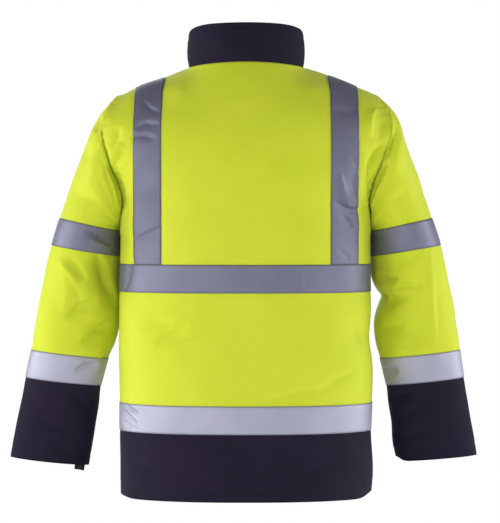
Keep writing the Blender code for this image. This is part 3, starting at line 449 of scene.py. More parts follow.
# ---- The flat cloth that shows of each cut: its width and length, what it lies on or hangs from, its area
# ---- where it isn't a rectangle, and how it is held
Cut = namedtuple("Cut", "width length on area held", defaults=(None, "laid"))
CUTS = {
    "back": Cut(0.612, 0.720, ["front_left", "front_right"], 0.396, "hung"),
    "hem_back": Cut(0.610, 0.125, ["back"], held="hung"),
    "cuff_left": Cut(0.385, 0.158, ["sleeve_left"], 0.057, "hung"),
    "cuff_right": Cut(0.385, 0.154, ["sleeve_right"], 0.056, "hung"),
    "collar": Cut(0.614, 0.075, ["back", "front_left", "front_right"], 0.040, "folded"),
    "chest_tape_back": Cut(TAPE_WIDTH, 0.610, ["back"]),
    "waist_tape_back": Cut(TAPE_WIDTH, 0.606, ["back", "hem_back"]),
    "cuff_strap_left": Cut(0.021, 0.054, ["cuff_left"], held="hung"),
}
for hand in HANDS:
    front = "front_" + hand
    sleeve = "sleeve_" + hand
    CUTS |= {
        front: Cut(0.304, 0.716, ["back"], 0.188, "hung"),
        "hem_" + front: Cut(0.302, 0.125, [front], held="hung"),
        sleeve: Cut(0.630, 0.540, ["back", front], 0.206, "hung"),
        "chest_tape_" + front: Cut(TAPE_WIDTH, 0.302, [front]),
        "waist_tape_" + front: Cut(TAPE_WIDTH, 0.302, [front, "hem_" + front]),
        "shoulder_tape_" + hand: Cut(TAPE_WIDTH, 0.812, ["back", front]),
        "arm_tape_" + hand: Cut(TAPE_WIDTH, 0.470, [sleeve]),
        "wrist_tape_" + hand: Cut(TAPE_WIDTH, 0.405, [sleeve, "cuff_" + hand]),
        "zip_" + hand: Cut(0.014, 0.788, [front, "collar"]),
    }


# ---------------------------------------------------------------- small helpers
def smooth_through(places, values, at):
    """Values at some places, on a smooth curve through a table's rows."""
    places = np.asarray(places, dtype=float)
    values = np.asarray(values, dtype=float)
    slopes = np.gradient(values, places)
    at = np.asarray(at, dtype=float)
    row = np.clip(np.searchsorted(places, at) - 1, 0, len(places) - 2)
    span = places[row + 1] - places[row]
    t = (at - places[row]) / span
    start = (1 + 2 * t) * (1 - t) ** 2 * values[row] + t * (1 - t) ** 2 * span * slopes[row]
    end = t ** 2 * (3 - 2 * t) * values[row + 1] + t ** 2 * (t - 1) * span * slopes[row + 1]
    return start + end


def smooth_step(t):
    """0 to 1, level at both ends."""
    t = np.clip(t, 0.0, 1.0)
    return t * t * (3 - 2 * t)


def bell(distance, reach, power=2):
    """1 at no distance, and falling away evenly on both sides of it."""
    return np.exp(-np.abs(distance / reach) ** power)


def spread(stops, step):
    """Places from the first stop to the last, even between stops and no further apart than a step."""
    places = [stops[0]]
    for start, end in zip(stops, stops[1:]):
        count = max(1, math.ceil(abs(end - start) / step - SAME_PLACE))
        places += [start + (end - start) * index / count for index in range(1, count)] + [end]
    return places


def oval_point(width, depth, turn):
    """A point on a flattened oval, turned from the centre line towards the side seam."""
    reach = np.abs(np.sin(turn)) ** (2 / OVAL)
    return width * reach, depth * np.abs(np.cos(turn)) ** (2 / OVAL)


def fold_troughs(folds, x, z):
    """How far the largest folds sink the cloth at a place seen from behind."""
    depth = np.zeros(np.broadcast(x, z).shape)
    for fold_x, fold_z, direction, length, width, trough in zip(*folds.values()):
        along_x = math.cos(math.radians(direction))
        along_z = math.sin(math.radians(direction))
        along = (x - fold_x) * along_x + (z - fold_z) * along_z
        across = (z - fold_z) * along_x - (x - fold_x) * along_z
        depth = depth + trough * np.exp(-(along * 2 / length) ** 2 - (across * 2 / width) ** 2)
    return depth


# ---------------------------------------------------------------- torso
def torso_widths(side, is_left, height):
    """Half width of the oval at each height, on one hand."""
    places = TORSO["height"] + YOKE["height"]
    widths = TORSO["left" if is_left else "right"] + YOKE[side + "_width"]
    return smooth_through(places, widths, height)


def torso_depths(side, height):
    """Depth of the oval at each height, behind or in front."""
    return smooth_through(TORSO["height"] + YOKE["height"], TORSO[side] + YOKE[side], height)


def armhole_depths(height):
    """How far behind or in front of the side seam the armhole cuts each oval."""
    drop = np.clip((BLADE - np.asarray(height)) / (BLADE - UNDERARM), 0.0, 1.0)
    return ARMHOLE_HALF_DEPTH * np.sqrt(1 - drop ** 2)


def torso_ovals(side, columns, heights):
    """Rows of points up to the blades. A column is its own x as far as the shoulder tape's outer
    edge, and beyond it the part of the way from there to the side seam or armhole."""
    height = np.asarray(heights, dtype=float)[:, None]
    column = np.asarray(columns, dtype=float)[None, :]
    reach = np.abs(column)
    width = np.where(column >= 0, torso_widths(side, True, height), torso_widths(side, False, height))
    depth = torso_depths(side, height)
    edge_turn = np.arccos((armhole_depths(height) / depth) ** (OVAL / 2))
    tape_turn = np.arcsin((SHOULDER_TAPE_OUT / width) ** (OVAL / 2))
    flat_turn = np.arcsin(np.minimum(reach / width, 1.0) ** (OVAL / 2))
    beyond = np.clip(reach - SHOULDER_TAPE_OUT, 0.0, 1.0)
    turn = np.where(beyond > 0, tape_turn + (edge_turn - tape_turn) * beyond, flat_turn)
    x, y = oval_point(width, depth, turn)
    x = np.sign(column) * x
    y = y - fold_troughs(TORSO_FOLDS, x, height) * np.minimum(y / depth * 2, 1.0)
    return np.stack([x, SIDE_SIGN[side] * y, height + 0 * x], axis=2)


def neck_angle(column):
    """Angle round the neckline, 0 at the centre and a quarter turn at the neck point."""
    t = np.clip(np.abs(column) / NECK_COLUMN, 0.0, 1.0)
    start = 2 / math.pi * NECK_COLUMN / NECK_HALF_WIDTH
    return math.pi / 2 * (start * t + (1 - start) * t * t)


def neck_point(side, column):
    """The neckline's point over a column."""
    angle = neck_angle(column)
    x = NECK_HALF_WIDTH * np.sin(angle)
    y = SIDE_SIGN[side] * NECK[side]["depth"] * np.cos(angle)
    return x, y, NECK[side]["centre_height"] * np.cos(angle) ** 2


def shoulder_point(x):
    """The shoulder seam's point at a distance from the centre."""
    t = (x - NECK_HALF_WIDTH) / (SHOULDER_END.x - NECK_HALF_WIDTH)
    return SHOULDER_END.y * t, SHOULDER_END.z * t + SHOULDER_CROWN * 4 * t * (1 - t)


def torso_top(side, column):
    """Where each column ends, on the neckline or the shoulder seam."""
    reach = np.abs(column)
    neck_x, neck_y, neck_z = neck_point(side, column)
    to_tape = (reach - NECK_COLUMN) / (SHOULDER_TAPE_IN - NECK_COLUMN)
    seam_x = NECK_HALF_WIDTH + (SHOULDER_TAPE_IN - NECK_HALF_WIDTH) * to_tape
    seam_x = np.where(reach > SHOULDER_TAPE_IN, reach, seam_x)
    beyond = np.clip(reach - SHOULDER_TAPE_OUT, 0.0, 1.0)
    outer_x = SHOULDER_TAPE_OUT + (SHOULDER_END.x - SHOULDER_TAPE_OUT) * beyond
    seam_x = np.where(reach > SHOULDER_TAPE_OUT, outer_x, seam_x)
    seam_y, seam_z = shoulder_point(seam_x)
    is_neck = reach <= NECK_COLUMN
    x = np.sign(column) * np.where(is_neck, neck_x, seam_x)
    return np.stack([x, np.where(is_neck, neck_y, seam_y), np.where(is_neck, neck_z, seam_z)], axis=-1)


def torso_rises(side, columns, rises):
    """Rows above the blades, a share of the way up each column's arc over the shoulder."""
    column = np.asarray(columns, dtype=float)
    start = torso_ovals(side, column, [BLADE])[0]
    lean = (start - torso_ovals(side, column, [BLADE - LEAN_STEP])[0]) / LEAN_STEP
    top = torso_top(side, column)
    chord = np.linalg.norm(top - start, axis=1)
    neck_share = np.where(np.abs(column) <= NECK_COLUMN, np.cos(neck_angle(column)), 0.0)
    arc_pull = (1 - neck_share) * QUARTER_PULL
    chord_pull = neck_share * NECK_PULL * chord
    start_pull = arc_pull * (top[:, 2] - start[:, 2]) + chord_pull
    end_pull = arc_pull * np.abs(start[:, 1] - top[:, 1]) + chord_pull
    slope = np.radians(NECK[side]["slope"] * neck_share)
    beyond = np.clip(np.abs(column) - SHOULDER_TAPE_OUT, 0.0, 1.0)
    slant = -SHOULDER_SLANT * np.sign(column) * beyond
    ahead = np.stack([slant, -SIDE_SIGN[side] * np.cos(slope), np.sin(slope)], axis=1)
    t = np.asarray(rises, dtype=float)[:, None, None]
    out = (1 + 2 * t) * (1 - t) ** 2 * start + t * (1 - t) ** 2 * lean * start_pull[:, None]
    return out + t ** 2 * (3 - 2 * t) * top + t ** 2 * (t - 1) * ahead * end_pull[:, None]


def torso_grid(side, columns, heights, rises):
    """The whole side of the torso as one grid of points, hem row first."""
    return np.concatenate([torso_ovals(side, columns, heights), torso_rises(side, columns, rises)])


def torso_columns(start):
    """Column places from the zip edge or centre out to the side seam."""
    flat = spread([start, NECK_COLUMN, SHOULDER_TAPE_IN, SHOULDER_TAPE_OUT], CLOTH_STEP)
    return flat + [SHOULDER_TAPE_OUT + step / SIDE_STEPS for step in range(1, SIDE_STEPS + 1)]


def torso_heights():
    """Row heights from the hem up to the blades, with a row on every edge of seam and tape."""
    stops = [HEM, WAIST_TAPE, PANEL_SEAM, WAIST_TAPE_TOP, CHEST_TAPE, CHEST_TAPE_TOP, UNDERARM]
    turns = [math.pi / 2 * step / YOKE_STEPS for step in range(1, YOKE_STEPS + 1)]
    return spread(stops, CLOTH_STEP) + [BLADE - (BLADE - UNDERARM) * math.cos(turn) for turn in turns]


# ---------------------------------------------------------------- sleeves and collar
def sleeve_rings():
    """Ring places from the armhole to the cuff's end, with one on every edge of seam and tape."""
    arm, below_arm = ARM_TAPE_RINGS
    wrist, below_wrist = WRIST_TAPE_RINGS
    stretches = ((0, arm, 6), (arm, below_arm, 14), (below_arm, wrist, 10), (wrist, CUFF_SEAM_RING, 14),
                 (CUFF_SEAM_RING, below_wrist, 14), (below_wrist, SLEEVE_COUNT - 1, 10))
    rings = [0]
    for start, end, steps in stretches:
        at_seam = CUFF_SEAM_RING in (start, end)
        rings += spread([start, end] if at_seam else [*range(start, end + 1)], 1 / steps)[1:]
    return rings


def sleeve_grid(rim, is_left, rings):
    """Rings of a left sleeve, from the armhole's closed rim down. The rim's own shape fades into
    the table's ovals over the first rings. A right sleeve is made the same way and mirrored."""
    table = {name: smooth_through(range(SLEEVE_COUNT), SLEEVE[name], rings) for name in SLEEVE}
    if is_left:
        table["outer_z"] = table["outer_z"] + table["left_outer_drop"]
        table["inner_z"] = table["inner_z"] + table["left_inner_drop"]
    else:
        table["outer_x"] = table["outer_x"] + table["right_outer"]
        table["inner_x"] = table["inner_x"] + table["right_inner"]
    first_row = {name: values[0] for name, values in SLEEVE.items()}
    half_height = (first_row["outer_z"] - first_row["inner_z"]) / 2
    mid_height = (first_row["outer_z"] + first_row["inner_z"]) / 2
    turn = np.arctan2(rim[:, 1] / first_row["depth"], (rim[:, 2] - mid_height) / half_height)
    turn[0] = math.pi
    turn[-1] = -math.pi

    def oval(outer, inner):
        return (outer + inner)[:, None] / 2 + (outer - inner)[:, None] / 2 * np.cos(turn)

    x = oval(table["outer_x"], table["inner_x"])
    z = oval(table["outer_z"], table["inner_z"])
    y = table["centre_y"][:, None] + table["depth"][:, None] * np.sin(turn)
    y = y + table["tuck"][:, None] * (1 - np.cos(turn)) / 2
    first_x = oval(np.array([first_row["outer_x"]]), np.array([first_row["inner_x"]]))[0]
    first_y = first_row["depth"] * np.sin(turn)
    first_z = mid_height + half_height * np.cos(turn)
    fade = 1 - smooth_step(np.asarray(rings, dtype=float) / ARMHOLE_FADE_RINGS)
    rim_shape = (rim - np.stack([first_x, first_y, first_z], axis=1))[None] * fade[:, None, None]
    return sink_sleeve_folds(np.stack([x, y, z], axis=2) + rim_shape, 1 if is_left else -1)


def behind_share(points):
    """Each point's way out from its own ring's centre, and how far round behind it lies, from 0 to 1."""
    centre = points.mean(axis=1, keepdims=True)
    outward = points - centre
    outward = outward / np.linalg.norm(outward, axis=2, keepdims=True)
    return outward, smooth_step(outward[..., 1:2] * BEHIND_SPREAD)


def sink_sleeve_folds(points, hand):
    """The largest folds sink the back half of a sleeve, and nothing at its armhole."""
    outward, behind = behind_share(points)
    trough = fold_troughs(SLEEVE_FOLDS, hand * points[..., 0:1], points[..., 2:3])
    away_from_armhole = smooth_step((FOLDS_START - points[..., 2:3]) / FOLDS_FADE)
    return points - outward * trough * behind * away_from_armhole


def mirrored(grid):
    """A grid on the other hand, with its columns turned round so that it still faces outwards."""
    return grid[:, ::-1] * np.array([-1.0, 1.0, 1.0])


def collar_grid(neckline, steps):
    """The stand collar, from the neckline up, round from one zip edge to the other."""
    share = np.linspace(0, 1, steps + 1)[:, None]
    deeper_behind = COLLAR_TOP["y"][-1] / NECK["back"]["depth"]
    deeper_in_front = -COLLAR_TOP["y"][0] / NECK["front"]["depth"]
    top_y = neckline[:, 1] * np.where(neckline[:, 1] >= 0, deeper_behind, deeper_in_front)
    top_z = smooth_through(COLLAR_TOP["y"], COLLAR_TOP["z"], top_y)
    bulge = COLLAR_BULGE * np.sin(math.pi * share)
    out_x = neckline[:, 0] / NECK_HALF_WIDTH
    out_y = neckline[:, 1] / NECK["front"]["depth"]
    x = neckline[:, 0] + bulge * out_x
    y = neckline[:, 1] * (1 - share) + top_y * share + bulge * out_y
    z = neckline[:, 2] * (1 - share) + top_z * share
    return np.stack([x, y, z], axis=2)


# ---------------------------------------------------------------- normals and lengths
def grid_normals(points, wraps=False):
    """Outward unit normals of a grid."""
    across = np.gradient(points, axis=1)
    if wraps:
        across[:, 0] = across[:, -1] = (points[:, 1] - points[:, -2]) / 2
    normals = np.cross(across, np.gradient(points, axis=0))
    return normals / np.linalg.norm(normals, axis=2, keepdims=True)


def share_seam_normals(grids, normals):
    """Gives the points that two grids share at a seam one common normal."""
    sums = {}
    for name, points in grids.items():
        for row, column in rim_places(points):
            key = tuple(np.round(points[row, column], 6) + 0.0)
            sums[key] = sums.get(key, 0) + normals[name][row, column]
    for name, points in grids.items():
        for row, column in rim_places(points):
            total = sums[tuple(np.round(points[row, column], 6) + 0.0)]
            normals[name][row, column] = total / np.linalg.norm(total)


def rim_places(points):
    """The rows and columns of a grid's outer points."""
    rows, columns = points.shape[:2]
    for row in range(rows):
        for column in range(columns):
            if row in (0, rows - 1) or column in (0, columns - 1):
                yield row, column


def run_lengths(points, axis):
    """Length along the cloth from the grid's first row or column to each of its points."""
    steps = np.linalg.norm(np.diff(points, axis=axis), axis=2)
    start = np.zeros_like(steps[:1]) if axis == 0 else np.zeros_like(steps[:, :1])
    return np.concatenate([start, np.cumsum(steps, axis=axis)], axis=axis)


def line_lengths(points):
    """Length along a line of points from its first to each of them."""
    return np.concatenate([[0.0], np.cumsum(np.linalg.norm(np.diff(points, axis=0), axis=1))])


def at_length(place, lengths, values):
    """A line's values at one length or more along it."""
    return np.stack([np.interp(place, lengths, values[:, axis]) for axis in range(3)], axis=-1)


def cloth_places(points):
    """Each point's place on the flat cloth, in metres from the middle of its first row."""
    across = run_lengths(points, 1)
    across = across - across[:, points.shape[1] // 2][:, None]
    return np.stack([across, run_lengths(points, 0)], axis=2)


# ---------------------------------------------------------------- creases
def crease_depth(crease, x, z):
    """How far one crease sinks the cloth at places seen from behind or from in front."""
    path = crease.path
    lengths = np.linalg.norm(np.diff(path, axis=0), axis=1)
    starts = line_lengths(path)[:-1]
    nearest = np.full(x.shape, np.inf)
    depth = np.zeros(x.shape)
    for start, end, length, before in zip(path, path[1:], lengths, starts):
        way = (end - start) / length
        along = np.clip((x - start[0]) * way[0] + (z - start[1]) * way[1], 0.0, length)
        off_x = x - start[0] - way[0] * along
        off_z = z - start[1] - way[1] * along
        off = np.hypot(off_x, off_z)
        side = np.sign(way[0] * off_z - way[1] * off_x)
        share = (before + along) / lengths.sum()
        swell = np.clip(4 * share * (1 - share), 0.0, 1.0) ** CREASE_SWELL
        taper = 1 - CREASE_TAPER + CREASE_TAPER * swell
        width = crease.width * (1 + CREASE_LEAN * crease.lean * side) * taper
        here = CREASE_GAIN * crease.depth * swell * bell(off, width, CREASE_ROUNDNESS)
        depth = np.where(off < nearest, here, depth)
        nearest = np.minimum(off, nearest)
    return depth


def creased(creases, x, z):
    """The sum of several creases."""
    return sum((crease_depth(crease, x, z) for crease in creases), np.zeros(x.shape))


def slack(points, size, seed):
    """The uneven rise and fall of slack cloth, from about -1 to 1, at one size of unevenness."""
    offset = Vector((seed, seed * 0.37, -seed * 0.61))
    flat = points.reshape(-1, 3) / size
    return np.array([noise.noise(Vector(place) + offset) for place in flat]).reshape(points.shape[:2])


def slackened(points, kinds):
    """The rise and fall of several sizes of unevenness together, in metres."""
    return sum(kind.rise * slack(points, kind.size, kind.seed) for kind in kinds)


def sunk_by(groove, distance):
    """How far a groove sinks the cloth at a distance from its middle."""
    return groove.depth * bell(distance, groove.reach)


def gather(distance, along, points, seed):
    """A sewn seam's groove, with the cloth puckered unevenly along it."""
    lost = GROOVE_LOST * smooth_step((points[..., 2] - GROOVE_BELOW) / SEAM_FADE)
    groove = sunk_by(ARMHOLE_SEAM, distance) * (1 - lost)
    usual, uneven = PUCKER_DEPTHS
    depth = usual + uneven * slack(points, size=0.040, seed=seed)
    turns = along / PUCKER_PITCH + PUCKER_WANDER * slack(points, size=0.070, seed=seed + 4.0)
    return groove + sunk_by(ARMHOLE_PUCKER, distance) * depth * np.sin(turns * 2 * math.pi)


def torso_relief(side, points):
    """How far the torso's cloth stands off its plain form, outwards."""
    x, y, z = points[..., 0], np.abs(points[..., 1]), points[..., 2]
    creases = TORSO_CREASES if side == "back" else FRONT_TORSO_CREASES
    facing = smooth_step(y / FACING_FADE)
    sunk = creased(creases, x, z) * facing
    for edge in (WAIST_TAPE, WAIST_TAPE_TOP, CHEST_TAPE, CHEST_TAPE_TOP):
        sunk = sunk + sunk_by(TAPE_EDGE, z - edge)
    on_rise = smooth_step((z - CHEST_TAPE_TOP) / RISE_FADE)
    for edge in (SHOULDER_TAPE_IN, SHOULDER_TAPE_OUT):
        sunk = sunk + sunk_by(TAPE_EDGE, np.abs(x) - edge) * on_rise
    on_top = smooth_step((z - DIP_START) / DIP_FADE)
    for middle, dip in SHOULDER_DIPS.items():
        sunk = sunk + sunk_by(dip, x - middle) * on_top
    above_hem = smooth_step((z - HEM) / HEM_FADE)
    loose = slackened(points, TORSO_SLACK) * (SIDE_SLACK + (1 - SIDE_SLACK) * facing) * above_hem
    return loose - sunk - sunk_by(HEM_EDGE, z - HEM - HEM_LINE)


def armhole_relief(points, is_sleeve, seed):
    """The groove and puckers along the armhole seam. Its rim is the last column or the first row."""
    if is_sleeve:
        distance = run_lengths(points, 0)
        along = run_lengths(points, 1)[0][None, :] + 0 * distance
    else:
        lengths = run_lengths(points, 1)
        distance = lengths[:, -1:] - lengths
        along = run_lengths(points, 0)[:, -1][:, None] + 0 * distance
    return -gather(distance, along, points, seed)


def sleeve_relief(points, hand):
    """How far a sleeve's cloth stands off its plain form, outwards."""
    x, z = points[..., 0], points[..., 2]
    behind = behind_share(points)[1][..., 0]
    before = behind_share(points * [1.0, -1.0, 1.0])[1][..., 0]
    drop = 0.0 if hand == "left" else RIGHT_CREASE_DROP
    sunk = SLEEVE_GAIN * creased(SLEEVE_CREASES[hand], x, z) * behind
    sunk = sunk + creased(FRONT_SLEEVE_CREASES, HANDS[hand] * x, z + drop) * before
    from_armhole = smooth_step(run_lengths(points, 0) / ARMHOLE_FADE)
    return slackened(points, SLEEVE_SLACK[hand]) * from_armhole - sunk


def ring_grooves(relief, rings, points):
    """Sinks a sleeve a little where tapes are sewn on, and along the cuff's turned end."""
    down = run_lengths(points, 0)
    for ring in ARM_TAPE_RINGS + WRIST_TAPE_RINGS:
        relief = relief - sunk_by(TAPE_EDGE, down - down[rings.index(ring)][None, :])
    return relief - sunk_by(HEM_EDGE, down[-1][None, :] - down - SLEEVE_HEM_LINE)


def collar_relief(points):
    """The collar's padding, held by a row of sewing below its top and by the neck seam."""
    up = run_lengths(points, 0)
    height = up[-1][None, :]
    puffed = COLLAR_PUFF * np.sin(math.pi * np.clip(up / height, 0, 1)) + slackened(points, COLLAR_SLACK)
    above_foot = smooth_step(up / height / COLLAR_FOOT)
    return puffed * above_foot - sunk_by(COLLAR_SEWING, height - up - COLLAR_LINE) - sunk_by(NECK_SEAM, up)


def settle(points, corners, reach, times):
    """Evens out the cloth within reach of some places, leaving its rim as it is."""
    near = np.min([np.linalg.norm(points - corner, axis=2) for corner in corners], axis=0)
    share = smooth_step(1.0 - near / reach)[1:-1, 1:-1, None]
    for _ in range(times):
        beside = (points[:-2, 1:-1] + points[2:, 1:-1] + points[1:-1, :-2] + points[1:-1, 2:]) / 4
        points[1:-1, 1:-1] += (beside - points[1:-1, 1:-1]) * share


def agree_on_seams(grids, reliefs):
    """Gives the two sides of each seam one relief, faded into the cloth beside it."""
    meeting = {}
    for name, points in grids.items():
        for place in rim_places(points):
            meeting.setdefault(tuple(np.round(points[place], 5)), []).append(reliefs[name][place])
    for name, points in grids.items():
        relief = reliefs[name]
        wanted = {}
        for place in rim_places(points):
            depths = meeting[tuple(np.round(points[place], 5))]
            wanted[place] = sum(depths) / len(depths)
        rows, columns = relief.shape
        for row in (0, rows - 1):
            change = np.array([wanted[row, column] for column in range(columns)]) - relief[row]
            lengths = run_lengths(points, 0)
            relief += change[None, :] * bell(lengths - lengths[row], SEAM_REACH)
        if name in WRAPS:
            continue
        for column in (0, columns - 1):
            change = np.array([wanted[row, column] for row in range(rows)]) - relief[:, column]
            lengths = run_lengths(points, 1)
            relief += change[:, None] * bell(lengths - lengths[:, column:column + 1], SEAM_REACH)


# ---------------------------------------------------------------- finishes
def add(tree, kind, inputs=None, **settings):
    """A node with its settings, and its inputs set or linked by name or number."""
    made = tree.nodes.new(kind)
    for name, value in settings.items():
        setattr(made, name, value)
    for socket, value in (inputs or {}).items():
        if isinstance(value, bpy.types.NodeSocket):
            tree.links.new(value, made.inputs[socket])
        else:
            made.inputs[socket].default_value = value
    return made


def calculated(tree, operation, first, second=0.0, third=0.0):
    """The result of one sum."""
    return add(tree, "ShaderNodeMath", {0: first, 1: second, 2: third}, operation=operation).outputs[0]


def mixed(tree, share, dark, light):
    """A colour between two, each of them a colour or a socket."""
    ends = [end if isinstance(end, bpy.types.NodeSocket) else (*end, 1.0) for end in (dark, light)]
    mix = add(tree, "ShaderNodeMix", {0: share, "A": ends[0], "B": ends[1]}, data_type="RGBA")
    return mix.outputs["Result"]


def noisy(tree, place, scale, detail, **inputs):
    """Soft noise on some places."""
    settings = {"Vector": place, "Scale": scale, "Detail": detail, **inputs}
    return add(tree, "ShaderNodeTexNoise", settings).outputs["Fac"]


def bumped(tree, height, strength, distance, **under):
    """A normal raised by a height, on top of another normal where one is given."""
    settings = {"Height": height, "Strength": strength, "Distance": distance, **under}
    return add(tree, "ShaderNodeBump", settings).outputs[0]


def ramp(tree, value, start, end, low):
    """A value's way from low at its start to 1 at its end."""
    ends = {"From Min": start, "From Max": end, "To Min": low, "To Max": 1.0}
    return add(tree, "ShaderNodeMapRange", {"Value": value, **ends}).outputs[0]


def node_group(name, inputs, outputs):
    """An empty shader group with its sockets, and its two end nodes."""
    group = bpy.data.node_groups.new(name, "ShaderNodeTree")
    for label, kind in inputs:
        group.interface.new_socket(label, in_out="INPUT", socket_type=kind)
    for label in outputs:
        group.interface.new_socket(label, in_out="OUTPUT", socket_type="NodeSocketFloat")
    return group, group.nodes.new("NodeGroupInput"), group.nodes.new("NodeGroupOutput")


def plain_weave():
    """Over-and-under threads with uneven thickness, on places in metres."""
    sockets = (("Place", "NodeSocketVector"), ("Thread", "NodeSocketFloat"))
    group, given, made = node_group("plain weave", sockets, ("Height", "Slub"))
    parts = add(group, "ShaderNodeSeparateXYZ", {0: given.outputs["Place"]})
    turns = [calculated(group, "DIVIDE", parts.outputs[axis], given.outputs["Thread"]) for axis in ("X", "Y")]
    waves = [calculated(group, "SINE", calculated(group, "MULTIPLY", turn, math.pi)) for turn in turns]
    height = calculated(group, "ABSOLUTE", calculated(group, "MULTIPLY", waves[0], waves[1]))
    slubs = []
    drawn_out = 0.06
    for along, across in ((drawn_out, 1.0), (1.0, drawn_out)):
        stretched = add(group, "ShaderNodeCombineXYZ", {"X": calculated(group, "MULTIPLY", turns[0], along),
                                                        "Y": calculated(group, "MULTIPLY", turns[1], across)})
        slubs.append(noisy(group, stretched.outputs[0], scale=1.0, detail=1.0))
    slub = calculated(group, "MULTIPLY", calculated(group, "ADD", slubs[0], slubs[1]), 0.5)
    thickened = calculated(group, "MULTIPLY_ADD", height, 0.7, calculated(group, "MULTIPLY", slub, 0.6))
    group.links.new(thickened, made.inputs["Height"])
    group.links.new(slub, made.inputs["Slub"])
    return group


def fine_creases():
    """Small soft creases of slack cloth, and the patches that they leave lighter and darker."""
    sockets = (("Place", "NodeSocketVector"), ("Size", "NodeSocketFloat"))
    group, given, made = node_group("fine creases", sockets, ("Height", "Patch"))
    scaled = add(group, "ShaderNodeVectorMath", {0: given.outputs["Place"]}, operation="SCALE")
    group.links.new(calculated(group, "DIVIDE", 1.0, given.outputs["Size"]), scaled.inputs["Scale"])
    folds = noisy(group, scaled.outputs[0], scale=1.0, detail=2.0, Roughness=0.45, Distortion=0.8)
    ridge = calculated(group, "ABSOLUTE", calculated(group, "SUBTRACT", folds, 0.5))
    height = calculated(group, "POWER", calculated(group, "MULTIPLY", ridge, 2.0), 1.15)
    group.links.new(height, made.inputs["Height"])
    group.links.new(noisy(group, scaled.outputs[0], scale=0.23, detail=3.0), made.inputs["Patch"])
    return group


def material(name, roughness, metallic=0.0, sheen=0.0, specular=0.5, tint=(1.0, 1.0, 1.0)):
    """A material's node tree, with its shader's even values set."""
    made = bpy.data.materials.new(name)
    made.use_nodes = True
    shader = made.node_tree.nodes["Principled BSDF"]
    even_values = {"Roughness": roughness, "Metallic": metallic, "Specular IOR Level": specular,
                   "Sheen Weight": sheen, "Sheen Roughness": 0.5, "Sheen Tint": (*tint, 1.0)}
    for label, value in even_values.items():
        shader.inputs[label].default_value = value
    return made, made.node_tree


def finish_with(tree, colour, normal):
    """Gives the shader its colour and its normal."""
    shader = tree.nodes["Principled BSDF"]
    tree.links.new(colour, shader.inputs["Base Color"])
    tree.links.new(normal, shader.inputs["Normal"])


def on_flat_cloth(tree, crease_size):
    """Places on the flat cloth, the fine creases there, and the distance from the cloth's edge."""
    place = add(tree, "ShaderNodeUVMap", uv_map="Cloth").outputs["UV"]
    creases = add(tree, "ShaderNodeGroup", {"Place": place, "Size": crease_size}, node_tree=CREASES).outputs
    edge = add(tree, "ShaderNodeAttribute", attribute_name="from_edge").outputs["Fac"]
    return place, creases, edge


def woven_cloth(name, dark, light, thread, relief, roughness, sheen, specular=0.3, tint=(1.0, 1.0, 1.0)):
    """Coated woven polyester: threads, slubs and small creases, with a soft sheen, and a painted shadow
    darkening the cloth near its edges along the seams.
    """
    made, tree = material(name, roughness, sheen=sheen, specular=specular, tint=tint)
    place, creases, edge = on_flat_cloth(tree, crease_size=0.028)
    weave = add(tree, "ShaderNodeGroup", {"Place": place, "Thread": thread}, node_tree=WEAVE).outputs
    slubs = calculated(tree, "MULTIPLY_ADD", weave["Slub"], 0.9, -0.6)
    share = calculated(tree, "MULTIPLY_ADD", creases["Patch"], 1.3, slubs)
    uneven_edge = calculated(tree, "MULTIPLY_ADD", creases["Patch"], 0.012, edge)
    # Painted seam shadow: the cloth is painted darker within about a centimetre of its edge, unevenly, as the
    # shadow in a seam.
    clear = ramp(tree, uneven_edge, start=0.0085, end=0.0125, low=0.0)
    painted_seam_shadow = [value * SEAM_PAINTED_SHADOW for value in dark]
    threads = bumped(tree, weave["Height"], relief, distance=0.0003)
    folds = bumped(tree, creases["Height"], strength=0.35, distance=0.0012, Normal=threads)
    finish_with(tree, mixed(tree, clear, painted_seam_shadow, mixed(tree, share, dark, light)), folds)
    return made


def bead_tape(name, dark, light):
    """Silver tape of glass beads on cloth: a fine grain, faint rub marks and a painted shadow darkening its
    sewn edges.
    """
    made, tree = material(name, roughness=0.54, metallic=0.38, specular=0.30)
    place, creases, edge = on_flat_cloth(tree, crease_size=0.019)
    grain = noisy(tree, place, scale=1500.0, detail=1.0)
    rubbed = calculated(tree, "MULTIPLY_ADD", creases["Patch"], 1.2, -0.35)
    share = calculated(tree, "MULTIPLY_ADD", grain, 0.5, rubbed)
    # Painted shadow: the tape is painted darker along its sewn edges, as their shadow.
    clear = ramp(tree, edge, start=0.0004, end=0.0022, low=0.45)
    beads = bumped(tree, grain, strength=0.15, distance=0.0002)
    folds = bumped(tree, creases["Height"], strength=0.30, distance=0.0008, Normal=beads)
    finish_with(tree, mixed(tree, clear, SEWN_EDGE_PAINTED_SHADOW, mixed(tree, share, dark, light)), folds)
    return made


def grained(name, dark, light, size, relief, roughness, metallic=0.0):
    """A hard or sewn finish with an even fine grain, on the piece's own places."""
    made, tree = material(name, roughness, metallic=metallic)
    place = add(tree, "ShaderNodeTexCoord").outputs["Object"]
    grain = noisy(tree, place, scale=1.0 / size, detail=3.0)
    finish_with(tree, mixed(tree, grain, dark, light), bumped(tree, grain, relief, size * 0.3))
    return made


# How dark the painted shadow along the seams is, as a share of the cloth's dark colour
SEAM_PAINTED_SHADOW = 0.42
